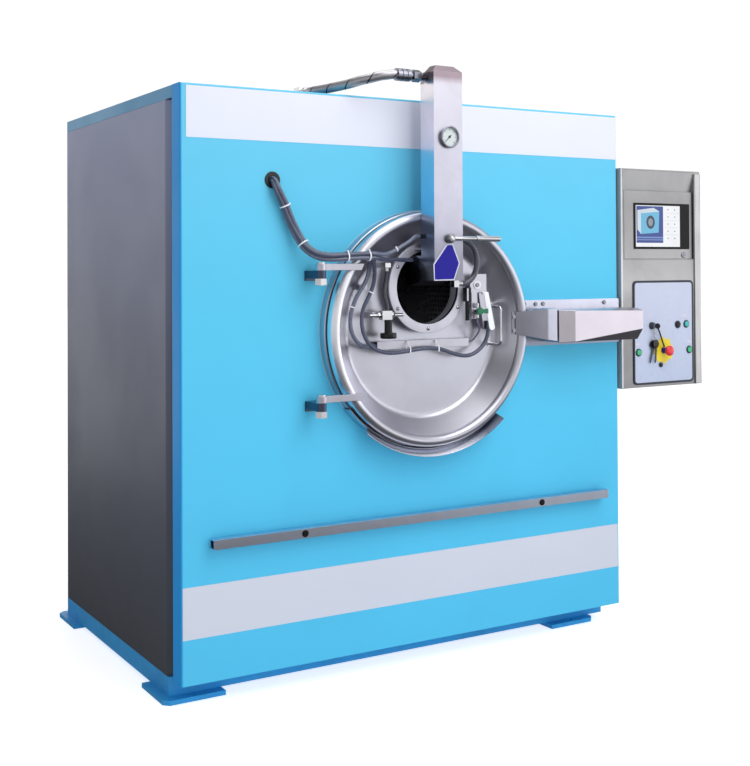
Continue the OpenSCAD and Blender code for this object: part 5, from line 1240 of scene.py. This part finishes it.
# %% Plate, lever and coupling
plate_corners = np.array([(820, 1287), (823, 1232), (903, 1233), (926, 1290), (899, 1353), (873, 1353)], float)
border = cut_plate(eased(plate_corners, 3, steps=5), (160.2, 162), 0.4)
field = cut_plate(eased(inset(plate_corners, 4.6), 2, steps=3), (162, 162.3), 0.1)
shaped("sign_border", border, sign_pale, "door", "sign_plate", smooth=False)
shaped("sign_field", field, sign_blue, "door", smooth=False)
LEVER_X, ROD_OUT, LEVER_Z = 886, 171, 1372
LEVER, ROD = (LEVER_X, 0, LEVER_Z), (LEVER_X, ROD_OUT, LEVER_Z)
hub = [(0, 140), (6, 140), (6, 160.3), (16, 160.3), (16, 172), (12, 179), (0, 179)]
sleeve = [(0, 100), (9.2, 100), (10, 101), (10, 196), (7, 200), (0, 200)]
nut = [(0, 0), (9, 0), (9.6, 3), (9, 6), (6.5, 8.2), (0, 8.9)]
easing = [0, 0.5, 0.5, 2, 3, 3, 0]
lathed_solid("lever_hub", hub, easing, LEVER, dull_steel, "valve_lever", "valve_lever", steps=64)
rod = solid_profile(7.5, 0, 110)
lathed("lever_rod", rod, ROD, bright_steel, "valve_lever", axis="across", closed=False, steps=40)
easing = [0, 0.8, 0.8, 2, 2, 0]
lathed_solid("lever_sleeve", sleeve, easing, ROD, bright_steel, "valve_lever", axis="across", steps=48)
nut_foot = (LEVER_X, ROD_OUT + 0.5, LEVER_Z)
lathed_solid("lever_nut", nut, 2, nut_foot, bright_steel, "valve_lever", rounds=3, steps=40)
FITTINGS = (
    ("hose_coupling_finished", ((700, 60, 1860), (880, 130, 1990)), worn_steel),
    ("dosing_elbow_finished", ((695, -12, 1255), (735, 60, 1300)), bright_steel),
    ("dosing_clamp_finished", ((630, 30, 1095), (775, 70, 1140)), bright_steel),
    ("solenoid_finished", ((1008, 30, 1080), (1041, 80, 1215)), black_plastic),
    ("sampling_valve_finished", ((1042, 55, 1090), (1075, 90, 1160)), bright_steel),
    ("loop_fittings_finished", ((900, 100, 1200), (965, 135, 1385)), bright_steel),
    ("cable_glands_finished", ((812, 30, 1285), (827, 100, 1395)), black_plastic))
for name, box, material in FITTINGS:
    softened("door_valves", material, 0.7, box=box, name=name)
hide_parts("door_valves")
print(len(FITTINGS), "fittings, and the tower is dressed")

# %% [markdown]
# A black knob hangs under the clamp, and a green handle turns the sampling valve. Both are moulded:
# the knob's rim is fluted, which is a small cosine taken off its radius. A pale flap stands in front
# of the bracket, held by a small tab, and the coil has a blank label.

# %% Knob and sampling handle
KNOB, FLUTES = (713, 50, 1110), 8
KNOB_ROWS = [
    (0, -70, 0), (22, -70, 0.5), (27, -68.5, 1), (28, -66, 1), (28, -54, 1), (26.5, -51, 0.8), (14, -49.6, 0),
    (13, -46, 0), (13, -8, 0), (8, -7.4, 0), (5, -7.4, 0), (5, 0, 0), (0, 0, 0)]
r, t, flute = np.array(KNOB_ROWS).T[:, :, None]  # radius, height and the depth of a flute
a = np.linspace(0, 2 * np.pi, 96, endpoint=False)
reach = r - flute * (0.5 - 0.5 * np.cos(FLUTES * a))
knob = spot(KNOB[0] + reach * np.cos(a), KNOB[1] + reach * np.sin(a), KNOB[2] + t)
shaped("dosing_knob", knob, black_plastic, "valve_knob", "valve_knob")
tap, tap_foot = [(0, 67), (3, 67), (3, 81), (13, 81), (13, 90), (0, 90)], (1062, 0, 1124)
easing = [0, 0.5, 0.5, 1.5, 2.5, 0]
lathed_solid("sampling_hub", tap, easing, tap_foot, green_paint, "sampling_handle", "sampling_handle", steps=48)
paddle = [(1062, 1116), (1080, 1118), (1096, 1114), (1096, 1134), (1080, 1130), (1062, 1132)]
paddle = cut_plate(eased(paddle, [1, 6, 5, 5, 6, 1], steps=6), (82, 89), 1.6)
shaped("sampling_paddle", paddle, green_paint, "sampling_handle")
flap = [(1112, 1063), (1118, 1057), (1128, 1057), (1135, 1064), (1108, 1187), (1088, 1187)]
flap = cut_plate(eased(flap, [2, 2, 3, 3, 3, 2], steps=4), (70, 73), 0.8)
tab = cut_plate(eased(corners_of(1086, 1109, 1181, 1190), 1.5, steps=3), (57.8, 71), 0.8)
shaped("valve_flap", [flap, tab], tie_white, "door")
label = cut_plate(eased(corners_of(1023, 1029, 1160, 1203), 0.6, steps=3), (63.9, 64.5), 0.2)
shaped("coil_label", label, sign_pale, "door")
washer = eased(corners_of(7.6, 15, 57.8, 59.6), 0.4, steps=3)
lathed("bracket_washer", washer, (1070, 0, 1214), bright_steel, "door", steps=48)
nut = solid_profile(9.5, -5, 5, 1.2)
nuts = [turning(nut, (x, 50, 1118), axis="across", steps=6) for x in (677, 730)]
shaped("clamp_nuts", nuts, bright_steel, "door", sharp=25)
print("knob and handle are ready")

# %% [markdown]
# ## The control box
# The button plate lies under a dark rubber frame. Each control is a turned cap in a dark collar, and
# the emergency stop is a red mushroom over a yellow disc whose rim is cut into small points.

# %% Button plate and push buttons
BOX_OUT, PLATE_OUT = 12, 15
plate_outline = eased(corners_of(1840, 2140, 828, 1212), 14, steps=10)
plate = cut_plate(plate_outline, (BOX_OUT, PLATE_OUT), 0.4)
shaped("button_sheet", plate, plate_steel, "cabinet", "button_plate")
gasket = cut_frame(eased(corners_of(1832, 2148, 820, 1220), 21, steps=10), plate_outline, (BOX_OUT, 16), 1.4)
shaped("button_sheet_gasket", gasket, seal_rubber, "cabinet", "plate_gasket", wrap=LOOP)
CONTROLS = {
    "black_button": ((2062, 1047), black_plastic),
    "teal_button": ((2108, 1048), teal_plastic),
    "green_button_left": ((1857, 945), green_plastic),
    "green_button_right": ((2123, 947), green_plastic),
}
collar = [(11.4, PLATE_OUT - 0.5), (15, PLATE_OUT - 0.5), (15, PLATE_OUT + 2.4), (13.4, 19), (11.4, 19)]
collar = eased(collar, [0.2, 0.3, 0.8, 0.8, 0.4], steps=4)
cap, easing = [(0, 8), (10.9, 8), (10.9, 20.8), (0, 22)], [0, 0.4, 1.4, 0]
for name, ((x, z), material) in CONTROLS.items():
    lathed_solid(name + "_cap", cap, easing, (x, 0, z), material, name, name, rounds=8, steps=56)
ESTOP, KEY = (1985, 949), (1925, 1046)
key_collar = eased([(9.4, 14.5), (14, 14.5), (14, 18), (12, 19), (9.4, 19)], 0.4, steps=4)
collars = [turning(collar, (x, 0, z), steps=48) for (x, z), _ in CONTROLS.values()]
collars.append(turning(key_collar, (KEY[0], 0, KEY[1]), steps=48))
shaped("control_collars", collars, seal_rubber, "cabinet", "button_collars", wrap=LOOP)
print(len(collars), "collars")

# %% Emergency stop, lamp and labels
a = np.radians(np.arange(0, 360, 3.75))
directions = np.stack([np.cos(a), np.sin(a)], axis=1)
TIP_R, NOTCH_R, NECK_R = 51, 45, 12.4
spikes = np.where(np.arange(len(a)) % 12 < 6, TIP_R, NOTCH_R)[:, None]  # eight teeth, each six points wide
rim, hole = ESTOP + spikes * directions, ESTOP + NECK_R * directions
backing = cut_frame(rim, hole, (PLATE_OUT, 17), 0.2)
shaped("estop_backing", backing, yellow_plastic, "cabinet", wrap=LOOP, sharp=25)
neck = [(0, 5), (11.9, 5), (11.9, 40), (15, 43), (15, 46), (0, 46)]
dome = [(0, 44.6), (18.5, 44.6), (20, 47), (20, 52), (17, 57), (9, 59.6), (0, 60)]
stop = (ESTOP[0], 0, ESTOP[1])
easing = [0, 0.5, 1, 1, 1, 0]
lathed_solid("estop_neck", neck, easing, stop, sign_blue, "estop_button", "estop_button", rounds=4, steps=56)
easing = [0, 0.6, 1.5, 3, 5, 5, 0]
lathed_solid("estop_mushroom", dome, easing, stop, red_plastic, "estop_button", rounds=6, steps=72)
lens = [(0, 14.6), (9, 14.6), (9, 20), (7, 22), (0, 22)]
below = (1970, 0, 893)
lathed_solid("lamp_below_estop", lens, [0, 0.3, 1, 1, 0], below, black_plastic, "cabinet", rounds=4, steps=40)
LABELS = ((1915, 1086), (1853, 976), (2123, 978), (2100, 1079))
labels = [eased(corners_of(x - 12, x + 12, z - 5, z + 5), 1, steps=3) for x, z in LABELS]
labels = [cut_plate(outline, (PLATE_OUT, PLATE_OUT + 0.3), 0.1) for outline in labels]
shaped("blank_labels", labels, sign_pale, "cabinet")
print(len(labels), "blank labels")

# %% [markdown]
# The key sits in a dark lock. A short cord leads from it to the stop's neck, and two spare keys hang
# from a small chain. The chain's links are rings that stand across each other in turn.

# %% Key and its lock
def key_head(x, out, z, r, thick, tilt=0.0):
    """Table of a moulded key head: an eased round plate, wider than tall, turned about the upright by
    tilt."""
    a = np.radians(np.arange(0, 360, 10))
    c, s = math.cos(math.radians(tilt)), math.sin(math.radians(tilt))
    half = thick / 2
    rows = [(0.0, -half), (0.92, -half), (1.0, 1 - half), (1.0, half - 1), (0.92, half), (0.0, half)]
    wide, tall = r * np.cos(a), 0.92 * r * np.sin(a)
    return np.stack([spot(x + k * wide * c - h * s, out + k * wide * s + h * c, z + k * tall) for k, h in rows])


def ring_of(wide, tall, deep=0.0, steps=25):
    """Points x, out and z of a ring: (wide cos a, deep sin a, tall sin a), or (0, wide cos a, tall sin a)
    where deep is None."""
    a = np.radians(np.linspace(0, 360, steps))
    flat, upright = wide * np.cos(a), tall * np.sin(a)
    return np.stack([0 * a, flat, upright] if deep is None else [flat, deep * np.sin(a), upright], axis=1)


barrel = [(0, 10), (8.9, 10), (8.9, 20), (0, 20.4)]
easing = [0, 0.3, 0.8, 0]
lathed_solid("key_lock", barrel, easing, (KEY[0], 0, KEY[1]), motor_grey, "key_switch", "key_switch", steps=48)
blade = eased(corners_of(19.6, 40, KEY[1] - 4, KEY[1] + 4), 0.8, steps=3)  # out and z
middle = 0 * blade + blade.mean(0)
rows = [(middle, -1.0), (blade, -1.0), (blade, 1.0), (middle, 1.0)]
shaft = np.stack([spot(KEY[0] + h, o[:, 0], o[:, 1]) for o, h in rows])
shaped("key_shaft", shaft, bright_steel, "key_switch")
shaped("key_bow", key_head(KEY[0], 48.6, KEY[1], 12, 4.6, tilt=90), black_plastic, "key_switch")
print("key is in its lock")

# %% Cord, chain and spare keys
RING_OUT = 26  # the cord's ring and the chain hang this far out
cord_route = [(KEY[0] + x, out, KEY[1] + z) for x, out, z in (
    (11, 26, 2), (20, 28, -10), (34, 30, -42), (46, 30, -70), (52, 29, -82))]
a = np.radians(np.arange(0, 370, 15))
cord_ring = np.stack([KEY[0] + 10.5 * np.cos(a), RING_OUT + 0 * a, KEY[1] + 10.5 * np.sin(a)], axis=1)
key_cord = [tube_points(through(cord_route, 3.0), 3.0, 12), tube_points(cord_ring, 1.6, 10)]
ride_as(cords("key_cord", key_cord), black_rubber, "cabinet")
links = []
for k in range(5):
    middle = np.array([KEY[0] + 1.0 * k, RING_OUT, KEY[1] - 14.5 - 7.4 * k])
    links.append(tube_points(middle + ring_of(3.2, 4.6, 0.0 if k % 2 else None), 1.0, 8))
links.append(tube_points(np.array([1929, RING_OUT, 991]) + ring_of(9, 9, 2, steps=33), 1.2, 8))
ride_as(cords("key_chain", links), bright_steel, "cabinet")
SPARE_KEYS = ((1926, 22.8, 974, 4), (1934, 28.6, 976, -8))  # x, out and z of a head, and its tilt
heads = [key_head(x, out, z, 17.5, 4.4, tilt=tilt) for x, out, z, tilt in SPARE_KEYS]
shaped("spare_key_heads", heads, black_plastic, "cabinet")
shafts = []
for x0, x1, out in ((1925, 1910, 22.8), (1935, 1930, 28.6)):
    outline = eased([(x0 - 4, 962), (x1 - 4, 906), (x1, 902), (x1 + 4, 906), (x0 + 4, 962)], 1, steps=3)
    shafts.append(cut_plate(outline, (out - 1.2, out + 1.2), 0.4))
shaped("spare_key_blades", shafts, dark_steel, "cabinet", sharp=30)
print(len(links), "links")

# %% [markdown]
# The display is a black glass bezel. Its picture is only a few lit shapes: a drawing of a plain
# cabinet on a blue field, and a white list with grey dots. The shapes are thin plates laid one over
# the other, each a tenth of a millimetre in front of the last.

# %% Display
def lit(name, colour, strength=0.8):
    """Lit screen colour: a fine grid of pixels and a soft fall-off, in the emission."""
    material, tree, shader, place = blank(name)
    mask = shared(tree, smudge_tree, Vector=place, Scale=12.0)
    grid = noise(tree, place, 1500.0, 0.0)
    base = linear(*colour)
    share = times(tree, plus(tree, mask, grid), 0.5)
    fill(tree, shader, {
        "Emission Color": tinted(tree, base, tuple(v * 0.9 for v in base), share),
        "Emission Strength": strength,
        "Base Color": (0.02, 0.02, 0.02, 1),
        "Roughness": 0.15,
    })
    return material


def flat_shapes(name, outlines, out, material):
    """Thin plates on the screen, each an outline of x and z."""
    tables = [cut_plate(np.asarray(o, float), (out, out + 0.1), 0.02, steps=2) for o in outlines]
    return shaped(name, tables, material, "screen_door", smooth=False)


def oval(x, z, wide, tall):
    """Outline of an oval about a point."""
    a = np.radians(np.arange(0, 360, 12))
    return np.stack([x + wide * np.cos(a), z + tall * np.sin(a)], axis=1)


bezel = cut_plate(eased(corners_of(1845, 2137, 1342, 1520), 4, steps=6), (6, 8.6), 0.8)
bezel_glass = painted("bezel glass", (8, 8, 10), rough=(0.2, 0.3), peel=0.02, dirt=0.9, shine=0.2)
shaped("display_bezel", bezel, bezel_glass, "screen_door", "display")
screen_white = lit("screen white", (244, 246, 250), 0.95)
bars = [corners_of(1857, 1996, *z) for z in ((1376, 1380), (1384, 1390))]
side_wall = [(1862, 1418), (1880, 1400), (1880, 1480), (1862, 1492)]
roof = [(1862, 1492), (1880, 1480), (1976, 1488), (1946, 1502)]
front_wall = [(1880, 1400), (1972, 1406), (1976, 1488), (1880, 1480)]
dots = [oval(x, z, 3, 2.4) for x in (2022, 2058) for z in (1384, 1412, 1440, 1468, 1496)]
rules = [corners_of(2004, 2080, z - 0.4, z + 0.4) for z in (1398, 1426, 1454, 1482)]
flat_shapes("display_ground", [corners_of(1854, 2085, 1351, 1511)], 8.6, screen_white)
SHAPES = (  # name, outlines, place out, and the name and colour of the finish
    ("picture", [corners_of(1857, 1996, 1366, 1508)], 8.7, "screen blue", (44, 72, 156)),
    ("bars", bars, 8.8, "screen light blue", (120, 150, 214)),
    ("machine_side", [side_wall, roof], 8.8, "screen pale", (226, 240, 250)),
    ("machine_front", [front_wall], 8.8, "screen cyan", (112, 200, 240)),
    ("machine_door", [oval(1930, 1446, 22, 26)], 8.9, "screen dark", (54, 66, 84)),
    ("machine_hub", [oval(1930, 1446, 12, 15)], 9.0, "screen grey", (150, 164, 180)),
    ("marks", dots, 8.7, "screen mark", (92, 96, 108)),
    ("rules", rules, 8.7, "screen rule", (206, 212, 224)))
for name, outlines, out, finish, colour in SHAPES:
    flat_shapes("display_" + name, outlines, out, lit(finish, colour))
CAM = (2106, 1319)
cam = [(0, 0.6), (9, 0.6), (9, 6.3), (11, 6.3), (11, 8.2), (9.4, 9), (0, 9)]
cam_foot, easing = (CAM[0], 0, CAM[1]), [0, 0.2, 0.2, 0.3, 0.5, 0.5, 0]
lathed_solid("screen_cam", cam, easing, cam_foot, worn_steel, "screen_lock", "screen_lock", rounds=4, steps=56)
slot = cut_plate(corners_of(CAM[0] - 1.1, CAM[0] + 1.1, CAM[1] - 5, CAM[1] + 5), (8.8, 9.1), 0.1, steps=2)
shaped("screen_cam_slot", slot, black_plastic, "screen_lock")
print(len(dots), "marks on the screen")

# %% [markdown]
# A stile stands proud of the box's right edge and ends a little below its top. A thin bright lip closes
# the left edge.

# %% Stile and lip of the box
stile = cut_plate(eased(corners_of(2157, 2189.5, 811, 1640), 1, steps=3), (BOX_OUT, 17), 1.2)
shaped("box_stile", stile, stile_steel, "cabinet")
lip = cut_plate(eased(corners_of(1772.5, 1781, 811, 1649), 0.8, steps=3), (BOX_OUT, 14.4), 1.0)
shaped("box_lip", lip, bright_steel, "cabinet")
print("box is dressed")

# %% [markdown]
# ## Light and floor
# The picture is a studio cut-out on white. What the steel mirrors is most of its look, so the world
# answers three questions differently. The camera sees plain white. Painted surfaces get one even
# grey. Polished surfaces see a room: bright towards the front and overhead, a dark band above eye
# level as between two soft boxes, and a dim left side.

# %% World
ROOM_ACROSS = (
    (0.0, 0.56), (0.3, 0.5), (0.5, 0.52), (0.65, 0.58), (0.75, 1.0), (0.85, 1.0), (0.94, 1.4), (1.0, 1.4))
ROOM_UPWARDS = (
    (0.0, 0.12), (0.22, 0.14), (0.28, 0.3), (0.345, 1.3), (0.46, 1.35), (0.55, 1.15), (0.64, 0.42),
    (0.76, 0.34), (0.84, 0.9), (1.0, 1.0))
COOL = np.array([0.98, 0.985, 1.0])  # the room's light is a little blue


def sideways(tree, direction):
    """Brightness of the room from left (0) to right (1); what lies behind the machine is as bright as the
    right front."""
    behind = times(tree, larger(tree, direction["Y"], 0.0), 1.4)
    turned_back = smaller(tree, plus(tree, direction["X"], behind), 0.6)
    to_right = larger(tree, direction["X"], turned_back)
    across = times(tree, plus(tree, to_right, 1.0), 0.5, clamp=True)
    return ramped(tree, across, [(reached, (level,) * 3) for reached, level in ROOM_ACROSS])


world = bpy.data.worlds.new("studio")
bpy.context.scene.world = world
world.use_nodes = True
room = world.node_tree
room.nodes.clear()
direction = split(room, add(room, "TexCoord").outputs["Generated"])
height = ranged(room, direction["Z"], 0.0, 1.0, -0.6, 1.0)
bands = ramped(room, height, [(reached, level * COOL) for reached, level in ROOM_UPWARDS])
front_way = ranged(room, direction["Y"], 1.0, 0.9, -0.8, 0.6)
strength = times(room, sideways(room, direction), front_way)
mirrored = add(room, "Background", {"Color": bands, "Strength": strength})
left_way = ranged(room, direction["X"], 0.3, 0.52, -0.9, 0.3)
even = add(room, "Background", {"Color": (0.95, 0.97, 1.0, 1), "Strength": left_way})
plain = add(room, "Background", {"Color": (1, 1, 1, 1), "Strength": 1.02})
kind = add(room, "LightPath").outputs
matt = add(room, "MixShader", {0: kind["Is Glossy Ray"], 1: even.outputs[0], 2: mirrored.outputs[0]})
seen = add(room, "MixShader", {0: kind["Is Camera Ray"], 1: matt.outputs[0], 2: plain.outputs[0]})
room.links.new(seen.outputs[0], add(room, "OutputWorld").inputs["Surface"])
print(len(ROOM_UPWARDS), "bands of light")

# %% [markdown]
# Three square soft boxes stand round the machine, as in a studio: one high at the right, one in
# front and one above. A soft box is an area lamp, and its size decides how soft a shadow's edge is.
# The one in front only lights: its picture in the steel would be too strong.

# %% Lamps
def lamp(name, place, target, size, power, mirrored=False):
    """A square soft box that faces its target; steel only mirrors it where that is asked for."""
    light = bpy.data.lights.new(name, "AREA")
    light.energy, light.size = power, size
    holder = bpy.data.objects.new(name, light)
    scene_collection.objects.link(holder)
    holder.location = spot(*place)
    holder.visible_glossy = mirrored
    aim = Vector(spot(*target)) - holder.location
    holder.rotation_euler = aim.to_track_quat("-Z", "Y").to_euler()


lamp("key", (1500, 2700, 3900), (900, 0, 1300), 3.0, 78, mirrored=True)
lamp("front", (900, 4200, 1500), (1000, 0, 900), 3.0, 38)
lamp("top", (800, -400, 4300), (1000, -500, 1000), 2.4, 40, mirrored=True)
view = bpy.context.scene.view_settings
view.view_transform = "Standard"
print(view.view_transform)

# %% [markdown]
# The floor is a wide pale sheet. It answers like the world does: the camera sees it white with only
# the shadow right under the skid, painted parts get its even light from below, and polished parts
# see it dark, which is what draws the lower edges of every steel part.

# %% Floor and end
FLOOR_REACH, FLOOR_DEPTH = 60.0, -0.001  # metres
NEAR, FAR = 3.2, 6.5  # metres from the machine, between which the mirrored floor brightens
ends = (-FLOOR_REACH, FLOOR_REACH)
ground = np.array([[(x, y, FLOOR_DEPTH) for y in ends] for x in ends])
floor = skin("studio_floor", ground, wrap=SHEET)
sheet = painted("floor sheet", (232, 232, 234), rough=(0.5, 0.6), peel=0.05, dirt=0.98, patch=1.0)
tree = sheet.node_tree
shader = first_of(tree, "BSDF_PRINCIPLED")
kind = add(tree, "LightPath").outputs
place = first_of(tree, "TEX_COORD").outputs["Object"]
glow = plus(tree, times(tree, kind["Is Camera Ray"], 0.5), 0.22)
fill(tree, shader, {"Emission Color": (1, 1, 1, 1), "Emission Strength": glow})
away = add(tree, "VectorMath", {0: place}, operation="LENGTH").outputs["Value"]
far = ranged(tree, away, 0.17, 1.3, NEAR, FAR)
across = add(tree, "VectorMath", {0: place}, operation="NORMALIZE").outputs["Vector"]
strength = times(tree, far, sideways(tree, split(tree, across)))
dark = add(tree, "Emission", {"Color": (0.94, 0.96, 1.0, 1), "Strength": strength})
seen = add(tree, "MixShader", {0: kind["Is Glossy Ray"], 1: shader.outputs[0], 2: dark.outputs[0]})
tree.links.new(seen.outputs[0], first_of(tree, "OUTPUT_MATERIAL").inputs["Surface"])
floor.data.materials.append(sheet)

import json
